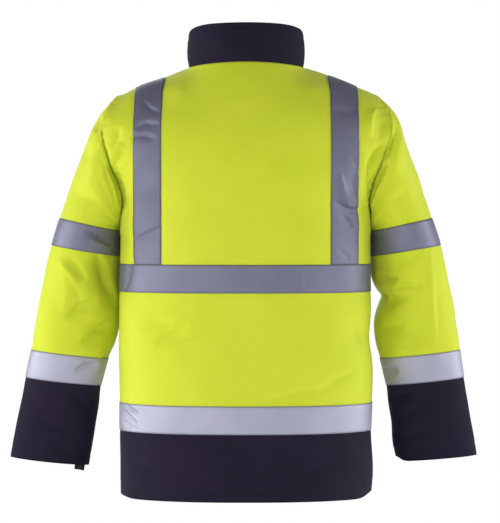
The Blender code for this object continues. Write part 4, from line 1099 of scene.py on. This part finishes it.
# The colour of the painted shadow along a tape's sewn edges
SEWN_EDGE_PAINTED_SHADOW = (0.055, 0.055, 0.080)
WEAVE = plain_weave()
CREASES = fine_creases()
YELLOW = woven_cloth("hi_vis_yellow_weave", (0.575, 0.665, 0.018), (0.70, 0.765, 0.044), thread=0.0007,
                     relief=0.35, roughness=0.66, sheen=0.17, specular=0.22, tint=(0.85, 1.0, 0.45))
NAVY = woven_cloth("navy_weave", (0.0112, 0.0078, 0.0195), (0.0205, 0.0140, 0.0335), thread=0.0007,
                   relief=0.40, roughness=0.74, sheen=0.02, specular=0.10)
ZIP_CLOTH = woven_cloth("zip_tape_weave", (0.010, 0.010, 0.014), (0.022, 0.021, 0.028), thread=0.0005,
                        relief=0.5, roughness=0.7, sheen=0.05)
WEBBING = woven_cloth("black_webbing", (0.006, 0.006, 0.007), (0.016, 0.016, 0.018), thread=0.0011,
                      relief=0.9, roughness=0.8, sheen=0.05)
# One tape in three tones: the darker copy paints shade onto the high shoulder tapes, the lighter copy paints
# light onto the low waist and wrist tapes.
SILVER = bead_tape("silver_bead_tape", (0.154, 0.154, 0.222), (0.242, 0.242, 0.333))
SILVER_PAINTED_SHADE = bead_tape("silver_bead_tape_painted_shade", (0.132, 0.132, 0.194), (0.209, 0.209, 0.290))
SILVER_PAINTED_LIGHT = bead_tape("silver_bead_tape_painted_light", (0.343, 0.343, 0.437), (0.489, 0.489, 0.598))
GREY_THREAD = grained("grey_thread", (0.075, 0.075, 0.095), (0.15, 0.15, 0.18), 0.0004, 0.5, 0.75)
NAVY_THREAD = grained("navy_thread", (0.012, 0.010, 0.018), (0.030, 0.026, 0.042), 0.0004, 0.5, 0.75)
YELLOW_THREAD = grained("yellow_thread", (0.40, 0.50, 0.015), (0.56, 0.66, 0.03), 0.0004, 0.5, 0.75)
TEETH = grained("zip_teeth_plastic", (0.010, 0.010, 0.013), (0.016, 0.016, 0.020), 0.0020, 0.1, 0.38)
METAL = grained("zip_slider_metal", (0.20, 0.20, 0.21), (0.34, 0.34, 0.35), 0.0030, 0.15, 0.33, 0.9)


# ---------------------------------------------------------------- cloth pieces
def linked(name, shape, finish):
    """An object at the origin, made of a bmesh."""
    mesh = bpy.data.meshes.new(name)
    shape.to_mesh(mesh)
    shape.free()
    mesh.materials.append(finish)
    piece = bpy.data.objects.new(name, mesh)
    bpy.context.scene.collection.objects.link(piece)
    return piece


def dressed(piece, nodes=(), body="garment"):
    """Puts a piece on its body and hides the nodes it stands for."""
    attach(piece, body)
    if nodes:
        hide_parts(*nodes)
    return piece


def one_long(ways):
    """Ways made one long."""
    return ways / np.linalg.norm(ways, axis=1, keepdims=True)


def drawn_in(points, wraps):
    """A grid drawn in by half a seam gap at its edges."""
    drawn = points.copy()
    for edge, inner in ((0, 1), (-1, -2)):
        drawn[edge] += one_long(points[inner] - points[edge]) * SEAM_GAP / 2
    if wraps:
        return drawn
    for edge, inner in ((0, 1), (-1, -2)):
        drawn[:, edge] += one_long(points[:, inner] - points[:, edge]) * SEAM_GAP / 2
    return drawn


def turned_in(points, normals, depth, wraps):
    """A grid with one more row or column at every edge, turned in behind the cloth."""
    behind = points - normals * depth
    points = np.concatenate([behind[:1], points, behind[-1:]])
    if wraps:
        return points
    normals = np.concatenate([normals[:1], normals, normals[-1:]])
    behind = points - normals * depth
    return np.concatenate([behind[:, :1], points, behind[:, -1:]], axis=1)


def to_nearest_end(points, axis):
    """Each point's distance along its own row or column from the nearer end of it."""
    lengths = run_lengths(points, axis)
    far = lengths[:, -1:] if axis == 1 else lengths[-1:, :]
    return np.minimum(lengths, far - lengths)


def edge_distances(points, wraps, every):
    """Each point's distance from the nearest edge, or unless every edge counts, from the nearest long one."""
    rows, columns = points.shape[:2]
    axis = 1 if rows > columns and not wraps else 0
    nearest = to_nearest_end(points, axis)
    if every and not wraps:
        return np.minimum(to_nearest_end(points, 1 - axis), nearest)
    return nearest


def cloth(name, points, thick, finish, wraps=False, outward=False, plain_top=False):
    """A closed shell of cloth through a grid of points, which are its face or, outward, its back. With
    a plain top, its edges get no painted seam shadow near the top of the armhole seams."""
    rows, columns = points.shape[:2]
    places = cloth_places(points).reshape(-1, 2)
    distances = edge_distances(points, wraps, not outward)
    # Near the top of the armhole seams the distance from the edge is raised, so that no painted seam shadow
    # falls there.
    if plain_top:
        shadow_painted_below = np.where(points[..., 0] > 0, SEAM_SHADOW_PAINTED_BELOW["left"], SEAM_SHADOW_PAINTED_BELOW["right"])
        distances = distances + SEAM_CLEAR * smooth_step((points[..., 2] - shadow_painted_below) / SEAM_FADE)
    distances = distances.reshape(-1)
    sheet = bmesh.new()
    flat = sheet.loops.layers.uv.new("Cloth")
    from_edge = sheet.verts.layers.float.new("from_edge")
    bmesh.ops.create_grid(sheet, x_segments=columns - 1, y_segments=rows - 1, size=1)
    sheet.verts.index_update()
    for corner, place, distance in zip(sheet.verts, points.reshape(-1, 3), distances):
        corner.co = place
        corner[from_edge] = distance
    for face in sheet.faces:
        face.smooth = True
        for loop in face.loops:
            loop[flat].uv = places[loop.vert.index]
    if wraps:
        bmesh.ops.remove_doubles(sheet, verts=sheet.verts[:], dist=SAME_PLACE)
    piece = linked(name, sheet, finish)
    wall = piece.modifiers.new("wall", "SOLIDIFY")
    wall.thickness = thick
    wall.offset = 1.0 if outward else -1.0
    return piece


# ---------------------------------------------------------------- grids of the whole jacket
back_half = torso_columns(0.0)[1:]
heights = torso_heights()
rises = [step / RISE_STEPS for step in range(1, RISE_STEPS + 1)]
back_columns = back_half[::-1] + [0.0] + [-place for place in back_half]
left_columns = torso_columns(ZIP_EDGE)
right_columns = [-place for place in left_columns[::-1]]
rings = sleeve_rings()
on_armhole = slice(heights.index(UNDERARM), None)

grids = {
    "back": torso_grid("back", back_columns, heights, rises),
    "front_left": torso_grid("front", left_columns, heights, rises),
    "front_right": torso_grid("front", right_columns, heights, rises),
}
left_rim = np.concatenate([grids["back"][on_armhole, 0], grids["front_left"][on_armhole, -1][::-1][1:]])
right_rim = np.concatenate([grids["back"][on_armhole, -1], grids["front_right"][on_armhole, 0][::-1][1:]])
grids["sleeve_left"] = sleeve_grid(left_rim, True, rings)
grids["sleeve_right"] = mirrored(sleeve_grid(right_rim * [-1.0, 1.0, 1.0], False, rings))
neck_back = [column for column, place in enumerate(back_columns) if abs(place) <= NECK_COLUMN]
neck_front = left_columns.index(NECK_COLUMN) + 1
neckline = np.concatenate([
    grids["front_left"][-1, :neck_front],
    grids["back"][-1, neck_back][1:-1],
    grids["front_right"][-1, -neck_front:],
])
grids["collar"] = collar_grid(neckline, COLLAR_STEPS)
normals = {name: grid_normals(points, name in WRAPS) for name, points in grids.items()}
share_seam_normals(grids, normals)

reliefs = {name: torso_relief(name.split("_")[0], grids[name]) for name in TORSO_PANELS}
for hand in HANDS:
    sleeve = "sleeve_" + hand
    reliefs[sleeve] = ring_grooves(sleeve_relief(grids[sleeve], hand), rings, grids[sleeve])
reliefs["collar"] = collar_relief(grids["collar"])


def pucker_panel(name, columns, rim_is_first, seed):
    """The groove and puckers of one armhole on some columns of a torso panel."""
    turned = slice(None, None, -1 if rim_is_first else 1)
    relief = armhole_relief(grids[name][on_armhole, columns][:, turned], is_sleeve=False, seed=seed)
    reliefs[name][on_armhole, columns] += relief[:, turned]


half_back = len(back_columns) // 2
pucker_panel("front_left", slice(None), rim_is_first=False, seed=1.5)
pucker_panel("front_right", slice(None), rim_is_first=True, seed=2.5)
pucker_panel("back", slice(half_back, None), rim_is_first=False, seed=3.5)
pucker_panel("back", slice(half_back + 1), rim_is_first=True, seed=4.5)
reliefs["sleeve_left"] += armhole_relief(grids["sleeve_left"], is_sleeve=True, seed=5.5)
reliefs["sleeve_right"] += armhole_relief(grids["sleeve_right"], is_sleeve=True, seed=6.5)
for name in WRAPS:
    reliefs[name][:, -1] = reliefs[name][:, 0]

# ---- The sleeves and the torso's sides stand out just below the underarm, and the right elbow is bent in
for name, sides in TOUCHING_SIDES.items():
    at_touch = bell(grids[name][..., 2] - UNDERARM + TOUCH_BELOW, TOUCH_BELOW, power=4)
    for sign in sides:
        facing = np.clip(normals[name][..., 0] * sign, 0.0, 1.0)
        reliefs[name] += (SLEEVE_TOUCH if name in WRAPS else TORSO_TOUCH) * facing * at_touch
crook = bell(grids["sleeve_right"][..., 2] - CROOK_HEIGHT, CROOK_REACH, power=1.4)
reliefs["sleeve_right"] -= CROOK_DEPTH * crook * np.clip(normals["sleeve_right"][..., 0], 0.0, 1.0) ** 2
agree_on_seams(grids, reliefs)
grids["sleeve_left"][0, :, 0] += SEAM_GAP / 2
grids["sleeve_right"][0, :, 0] -= SEAM_GAP / 2
dressed_grids = {name: grids[name] + normals[name] * reliefs[name][..., None] for name in grids}

# ---- The hem's lower corners and the right cuff's inner corner are rounded, the neck's corners evened
for name in TORSO_PANELS:
    side = dressed_grids[name][..., 0]
    low = 1 - smooth_step((dressed_grids[name][..., 2] - HEM) / HEM_CORNER_HEIGHT)
    corner = bell(HEM_CORNER_X - np.abs(side), HEM_CORNER_REACH) * low
    raised = np.where(side > 0, HEM_CORNER["left"], HEM_CORNER["right"])
    dressed_grids[name][..., 2] += raised * corner
    dressed_grids[name][..., 0] -= np.sign(side) * HEM_CORNER_INWARDS * raised * corner * low
    settle(dressed_grids[name], NECK_CORNERS, NECK_REACH, NECK_TIMES)
cuff_end = dressed_grids["sleeve_right"]
low = 1 - smooth_step((cuff_end[..., 2] - cuff_end[-1, :, 2]) / CUFF_CORNER_HEIGHT)
inner = bell(cuff_end[-1, :, 0].max() - cuff_end[..., 0], CUFF_CORNER_REACH)
cuff_end[..., 2] += CUFF_CORNER * inner * low


# ---------------------------------------------------------------- panels and tapes
def declared(piece):
    """Returns the piece unchanged."""
    return piece


def panel(name, source, rows, thick, finish, depth=TURNED_IN):
    """A shell panel that stands for the node of the same name."""
    points = drawn_in(dressed_grids[source][rows], source in WRAPS)
    points = turned_in(points, normals[source][rows], depth, source in WRAPS)
    # Every panel but the collar goes without the painted seam shadow near the top of the armhole seams.
    piece = cloth(name + "_cloth", points, thick, finish, source in WRAPS, plain_top=source != "collar")
    return declared(dressed(piece, [name]))


def finer(points):
    """A grid with one more row and column on a smooth curve between each two."""
    for axis in (0, 1):
        ends = np.moveaxis(points, axis, 0)
        between = (ends[1:] + ends[:-1]) / 2
        steps = np.linalg.norm(np.diff(ends, axis=0), axis=-1, keepdims=True)
        even = (steps[:-2] < 2 * steps[1:-1]) & (steps[2:] < 2 * steps[1:-1])
        between[1:-1] += even * (ends[1:-2] + ends[2:-1] - ends[:-3] - ends[3:]) / 16
        closer = np.empty((len(ends) + len(between),) + ends.shape[1:])
        closer[::2], closer[1::2] = ends, between
        points = np.moveaxis(closer, 0, axis)
    return points


def pressed(creases, points, wraps):
    """How far the banks beside a tape's pressed creases stand up."""
    x, y, z = points[..., 0], points[..., 1], points[..., 2]
    behind = behind_share(points)[1][..., 0] if wraps else smooth_step(y / BEHIND_FADE)
    lift = np.zeros(x.shape)
    for crease in creases:
        wide = crease._replace(width=crease.width * BANK_SPREAD)
        lift += crease_depth(wide, x, z) - crease_depth(crease, x, z)
    inside = smooth_step(edge_distances(points, wraps, False) / BANK_FADE)
    return np.clip(lift, 0.0, None) / CREASE_GAIN * behind * inside


def tape(name, points, point_normals, wraps=False, finish=SILVER):
    """A reflective tape that stands for the node of the same name, lying on the dressed cloth."""
    points = drawn_in(points, wraps)
    if name in TAPE_CREASES:
        points, point_normals = finer(points), finer(point_normals)
        points = points + point_normals * pressed(TAPE_CREASES[name], points, wraps)[..., None]
    lifted = points + point_normals * TAPE_LIFT
    piece = cloth(name + "_cloth", lifted, TAPE_CLOTH, finish, wraps, outward=True)
    return declared(dressed(piece, [name]))


# ---- Shell panels
seam_row = heights.index(PANEL_SEAM)
cuff_row = rings.index(CUFF_SEAM_RING)
for source in TORSO_PANELS:
    panel("hem_" + source, source, slice(0, seam_row + 1), SHELL, NAVY)
    panel(source, source, slice(seam_row, None), SHELL, YELLOW)
for hand in HANDS:
    panel("sleeve_" + hand, "sleeve_" + hand, slice(0, cuff_row + 1), SHELL, YELLOW)
    panel("cuff_" + hand, "sleeve_" + hand, slice(cuff_row, None), SHELL, NAVY)
panel("collar", "collar", slice(None), COLLAR_SHELL, NAVY, depth=TURNED_IN + COLLAR_CLOTH_EXTRA)

# ---- Reflective tapes
chest_rows = slice(heights.index(CHEST_TAPE), heights.index(CHEST_TAPE_TOP) + 1)
waist_rows = slice(heights.index(WAIST_TAPE), heights.index(WAIST_TAPE_TOP) + 1)
arm_rows = slice(rings.index(ARM_TAPE_RINGS[0]), rings.index(ARM_TAPE_RINGS[1]) + 1)
wrist_rows = slice(rings.index(WRIST_TAPE_RINGS[0]), rings.index(WRIST_TAPE_RINGS[1]) + 1)
# The waist tapes take the copy of the tape with painted light.
for source in TORSO_PANELS:
    for label, rows, finish in (("chest", chest_rows, SILVER), ("waist", waist_rows, SILVER_PAINTED_LIGHT)):
        tape(label + "_tape_" + source, dressed_grids[source][rows], normals[source][rows], finish=finish)
# The wrist tapes take the copy of the tape with painted light.
for hand in HANDS:
    source = "sleeve_" + hand
    for label, rows, finish in (("arm", arm_rows, SILVER), ("wrist", wrist_rows, SILVER_PAINTED_LIGHT)):
        tape(label + "_tape_" + hand, dressed_grids[source][rows], normals[source][rows], True, finish)


def over_shoulder(table, hand):
    """The strip of a torso table under a shoulder tape, from the chest up and over to the back."""
    sign = HANDS[hand]
    front_places = [place * sign for place in (left_columns if hand == "left" else right_columns)]
    back_places = [place * sign for place in back_columns]
    foot = heights.index(CHEST_TAPE_TOP)
    strips = []
    for places, name in ((front_places, "front_" + hand), (back_places, "back")):
        ends = sorted((places.index(SHOULDER_TAPE_IN), places.index(SHOULDER_TAPE_OUT)))
        strips.append(table[name][foot:, ends[0]:ends[1] + 1])
    return np.concatenate([strips[0], strips[1][::-1, ::-1][1:]])


# The shoulder tapes take the copy of the tape with painted shade.
for hand in HANDS:
    strip = over_shoulder(dressed_grids, hand)
    tape("shoulder_tape_" + hand, strip, over_shoulder(normals, hand), finish=SILVER_PAINTED_SHADE)


# ---------------------------------------------------------------- sewing
def part_row(points, row):
    """The line of points at a part row of a grid."""
    low = min(int(row), len(points) - 2)
    return points[low] * (1 - row + low) + points[low + 1] * (row - low)


def gather_row(whole, row):
    """Adds a row's bmesh to a longer one, which is faster than one long bmesh from the start."""
    mesh = bpy.data.meshes.new("row")
    row.to_mesh(mesh)
    row.free()
    whole.from_mesh(mesh)
    bpy.data.meshes.remove(mesh)


def placed(middle, across, up, ahead):
    """The matrix that puts a small shape at a place, with a way and a size for each of its axes."""
    return Matrix.Translation(middle) @ Matrix((across, up, ahead)).transposed().to_4x4()


def sewn(name, lines, finish, lift):
    """Rows of stitches, each a short turn of thread lying on the cloth."""
    sewing = bmesh.new()
    for points, point_normals in lines:
        row = bmesh.new()
        lengths = line_lengths(points)
        starts = np.arange(0, lengths[-1] - STITCH_LENGTH, STITCH_PITCH)
        ends = at_length(starts + STITCH_LENGTH, lengths, points)
        ups = at_length(starts + STITCH_LENGTH / 2, lengths, point_normals)
        for start, end, up in zip(at_length(starts, lengths, points), ends, ups):
            ahead = Vector(end - start).normalized()
            across = Vector(up).cross(ahead).normalized()
            up = ahead.cross(across)
            middle = Vector((start + end) / 2) + up * lift
            place = placed(middle, across * STITCH_RADIUS, up * STITCH_RADIUS, ahead * STITCH_LENGTH / 2)
            bmesh.ops.create_uvsphere(row, u_segments=4, v_segments=3, radius=1.0, matrix=place)
        gather_row(sewing, row)
    for face in sewing.faces:
        face.smooth = True
    return dressed(linked(name, sewing, finish))


def long_edges(points, point_normals, inset=TAPE_LINE_STEPS):
    """The two lines a little inside a tape's first and last rows."""
    return [(part_row(points, row), part_row(point_normals, row)) for row in (inset, len(points) - 1 - inset)]


def line_on(source, row, part=slice(None), along=False):
    """A line of points and its normals on a dressed grid, at a part row, or a part column along it."""
    return tuple(part_row(table[source][part].transpose(1, 0, 2) if along else table[source][part], row)
                 for table in (dressed_grids, normals))


tape_lines = []
for source in TORSO_PANELS:
    for rows in (chest_rows, waist_rows):
        tape_lines += long_edges(dressed_grids[source][rows], normals[source][rows])
arm_lines = []
for hand in HANDS:
    source = "sleeve_" + hand
    for rows in (arm_rows, wrist_rows):
        arm_lines += long_edges(dressed_grids[source][rows], normals[source][rows])
    strip = over_shoulder(dressed_grids, hand).transpose(1, 0, 2)
    tape_lines += long_edges(strip, over_shoulder(normals, hand).transpose(1, 0, 2))
sewn("torso_tape_sewing", tape_lines, GREY_THREAD, ON_TAPE)
sewn("sleeve_tape_sewing", arm_lines, GREY_THREAD, ON_TAPE)

hem_row = (HEM_LINE / (WAIST_TAPE - HEM)) * heights.index(WAIST_TAPE)
navy_lines = [line_on(source, hem_row) for source in TORSO_PANELS]
navy_lines += [line_on("sleeve_" + hand, len(rings) - 1 - CUFF_LINE_STEPS) for hand in HANDS]
navy_lines.append(line_on("collar", COLLAR_STEPS - COLLAR_LINE_STEPS))
sewn("navy_sewing", navy_lines, NAVY_THREAD, ON_CLOTH)

above_hem = slice(seam_row + 2, None)
beside_zip = {"left": ZIP_LINE_STEPS, "right": len(right_columns) - 1 - ZIP_LINE_STEPS}
yellow_lines = []
for hand in HANDS:
    yellow_lines.append(line_on("front_" + hand, beside_zip[hand], above_hem, along=True))
    yellow_lines.append(line_on("sleeve_" + hand, ARMHOLE_LINE_STEPS))
sewn("yellow_sewing", yellow_lines, YELLOW_THREAD, ON_CLOTH)


# ---------------------------------------------------------------- zip
def up_the_front(table, column):
    """One column of the left front, and above it of the collar."""
    return np.concatenate([table["front_left"][:, column], table["collar"][1:, column]])


ON_MIDDLE = [0.0, 1.0, 1.0]
zip_points = up_the_front(grids, 0)
zip_ahead = up_the_front(grids, ZIP_SLOPE_COLUMN) - zip_points
zip_slope = zip_ahead[:, 1:] / zip_ahead[:, :1]
zip_out = one_long(up_the_front(normals, 0) * ON_MIDDLE)
zip_deep = np.full(len(zip_points), ZIP_TAPE_DEEP)
zip_deep[-COLLAR_STEPS:] = ZIP_TAPE_DEEP + COLLAR_CLOTH_EXTRA
inside_ends = slice(2, -2)


def zip_strip(hand):
    """One side's woven tape, behind the front's edge."""
    columns = []
    for place in ZIP_STRIP_COLUMNS:
        column = zip_points * ON_MIDDLE - zip_out * zip_deep[:, None]
        column[:, 0] = HANDS[hand] * place
        column[:, 1:] += zip_slope * max(0.0, place - ZIP_EDGE)
        columns.append(column)
    points = np.stack(columns[::HANDS[hand]], axis=1)[inside_ends]
    name = "zip_" + hand
    strip = cloth(name + "_tape", points, ZIP_STRIP_CLOTH, ZIP_CLOTH)
    return declared(dressed(strip, [name]))


def zip_teeth(hand):
    """One side's row of moulded teeth, each half a step up from the other side's."""
    line = (zip_points * ON_MIDDLE - zip_out * (zip_deep[:, None] - TOOTH.y / 2))[inside_ends]
    lengths = line_lengths(line)
    places = np.arange(TOOTH_PITCH * (1.0 if hand == "left" else 1.5), lengths[-1] - TOOTH_PITCH, TOOTH_PITCH)
    teeth = bmesh.new()
    for start in range(0, len(places), TEETH_IN_A_ROW):
        row = bmesh.new()
        for place in places[start:start + TEETH_IN_A_ROW]:
            middle = Vector(at_length(place, lengths, line))
            up = (Vector(at_length(place + TOOTH_AHEAD, lengths, line)) - middle).normalized()
            across = Vector((1.0, 0.0, 0.0))
            middle.x = HANDS[hand] * (TOOTH.x / 2 - TOOTH_PAST_MIDDLE)
            turned = placed(middle, across * TOOTH.x, up.cross(across) * TOOTH.y, up * TOOTH.z)
            bmesh.ops.create_cube(row, size=1.0, matrix=turned)
        gather_row(teeth, row)
    bmesh.ops.recalc_face_normals(teeth, faces=teeth.faces[:])
    piece = rounded(linked("zip_teeth_" + hand, teeth, TEETH), width=0.0003, segments=1)
    return dressed(piece)


def rounded(piece, width, segments):
    """A hard piece with its edges rounded."""
    rounding = piece.modifiers.new("rounding", "BEVEL")
    rounding.width = width
    rounding.segments = segments
    rounding.limit_method = "ANGLE"
    return piece


def rounded_metal(node, body):
    """The node's own shape with its edges rounded, on the node's body."""
    shape = bmesh.new()
    shape.from_mesh(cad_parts[node].data)
    bmesh.ops.remove_doubles(shape, verts=shape.verts[:], dist=SAME_PLACE)
    bmesh.ops.dissolve_limit(shape, angle_limit=math.radians(1), verts=shape.verts[:], edges=shape.edges[:])
    piece = rounded(linked(node + "_metal", shape, METAL), width=0.00025, segments=2)
    return dressed(piece, [node], body)


for hand in HANDS:
    zip_strip(hand)
    zip_teeth(hand)
rounded_metal("zip_slider", "garment")
rounded_metal("zip_pull", "pull")

# ---------------------------------------------------------------- strap end below the left cuff
strap_rows = slice(rings.index(STRAP_START_RING), len(rings))
strap_ends = [grids["sleeve_left"].shape[1] - 1 - round(place * COARSE_COLUMN) for place in STRAP_COLUMNS]
strap_columns = slice(strap_ends[1], strap_ends[0] + 1)
strap = dressed_grids["sleeve_left"][strap_rows, strap_columns]
strap_normals = normals["sleeve_left"][strap_rows, strap_columns]
down = one_long(strap[-1] - strap[-2])
hanging = [strap[-1] + down * STRAP_HANG * share for share in (0.25, 0.5, 0.75, 1.0)]
strap = np.concatenate([strap, hanging])
strap_normals = np.concatenate([strap_normals, np.repeat(strap_normals[-1:], len(hanging), axis=0)])
strap = strap + strap_normals * TAPE_LIFT
strap_piece = cloth("cuff_strap_left_webbing", strap, STRAP_CLOTH, WEBBING, outward=True)
declared(dressed(strap_piece, ["cuff_strap_left"]))

# ---------------------------------------------------------------- floor, light and camera
FLOOR = -1.30
FLOOR_HALF_SIZE = 3.4
floor_shape = bmesh.new()
floor_place = Matrix.Translation((0.0, 0.0, FLOOR))
bmesh.ops.create_grid(floor_shape, x_segments=1, y_segments=1, size=FLOOR_HALF_SIZE, matrix=floor_place)
pale, pale_tree = material("pale_floor", roughness=0.9)
pale_shader = pale_tree.nodes["Principled BSDF"]
pale_shader.inputs["Base Color"].default_value = (0.86, 0.86, 0.86, 1.0)
pale_shader.inputs["Emission Color"].default_value = (1.0, 1.0, 1.0, 1.0)
pale_shader.inputs["Emission Strength"].default_value = 0.30
floor = linked("floor", floor_shape, pale)


def turned_to(piece, place, aim):
    """Puts a light or the camera at a place, turned towards a point, and into the scene."""
    piece.location = place
    piece.rotation_euler = (Vector(aim) - Vector(place)).to_track_quat("-Z", "Y").to_euler()
    bpy.context.scene.collection.objects.link(piece)


# ---- Square studio lights: place, size and power
MIDDLE = (0.0, 0.0, -0.40)
LIGHTS = {
    "behind_left": ((3.7, 2.6, 0.1), 2.4, 66.0),
    "behind_right": ((-3.7, 2.6, 0.0), 2.4, 34.0),
    "low_behind": ((0.5, 4.6, -1.45), 1.6, 22.0),
    "behind": ((0.9, 5.4, 0.4), 2.4, 31.0),
    "side_left": ((3.8, -0.4, 0.0), 1.8, 60.0),
    "side_right": ((-3.8, -0.4, 0.0), 1.8, 66.0),
    "front": ((0.8, -4.2, 0.6), 2.6, 74.0),
}
for name, (place, size, power) in LIGHTS.items():
    lamp = bpy.data.lights.new(name, "AREA")
    lamp.size = size
    lamp.energy = power
    turned_to(bpy.data.objects.new(name, lamp), place, MIDDLE)

world = bpy.data.worlds.new("studio")
world.use_nodes = True
room = world.node_tree
room.nodes.clear()
seen = add(room, "ShaderNodeBackground", {"Color": (1.0, 1.0, 1.0, 1.0), "Strength": 1.0})
lit = add(room, "ShaderNodeBackground", {"Color": (0.95, 0.97, 1.0, 1.0), "Strength": 0.27})
choice = add(room, "ShaderNodeMixShader", {0: add(room, "ShaderNodeLightPath").outputs["Is Camera Ray"],
                                           1: lit.outputs[0], 2: seen.outputs[0]})
add(room, "ShaderNodeOutputWorld", {"Surface": choice.outputs[0]})
bpy.context.scene.world = world
bpy.context.scene.view_settings.view_transform = "Standard"

lens = bpy.data.cameras.new("camera")
lens.sensor_fit = "VERTICAL"
lens.sensor_height = 24.0
lens.lens = 127.5
camera = bpy.data.objects.new("camera", lens)
turned_to(camera, (0.0, 5.0, -0.256), (-0.0072, 0.0, -0.3487))
bpy.context.scene.camera = camera
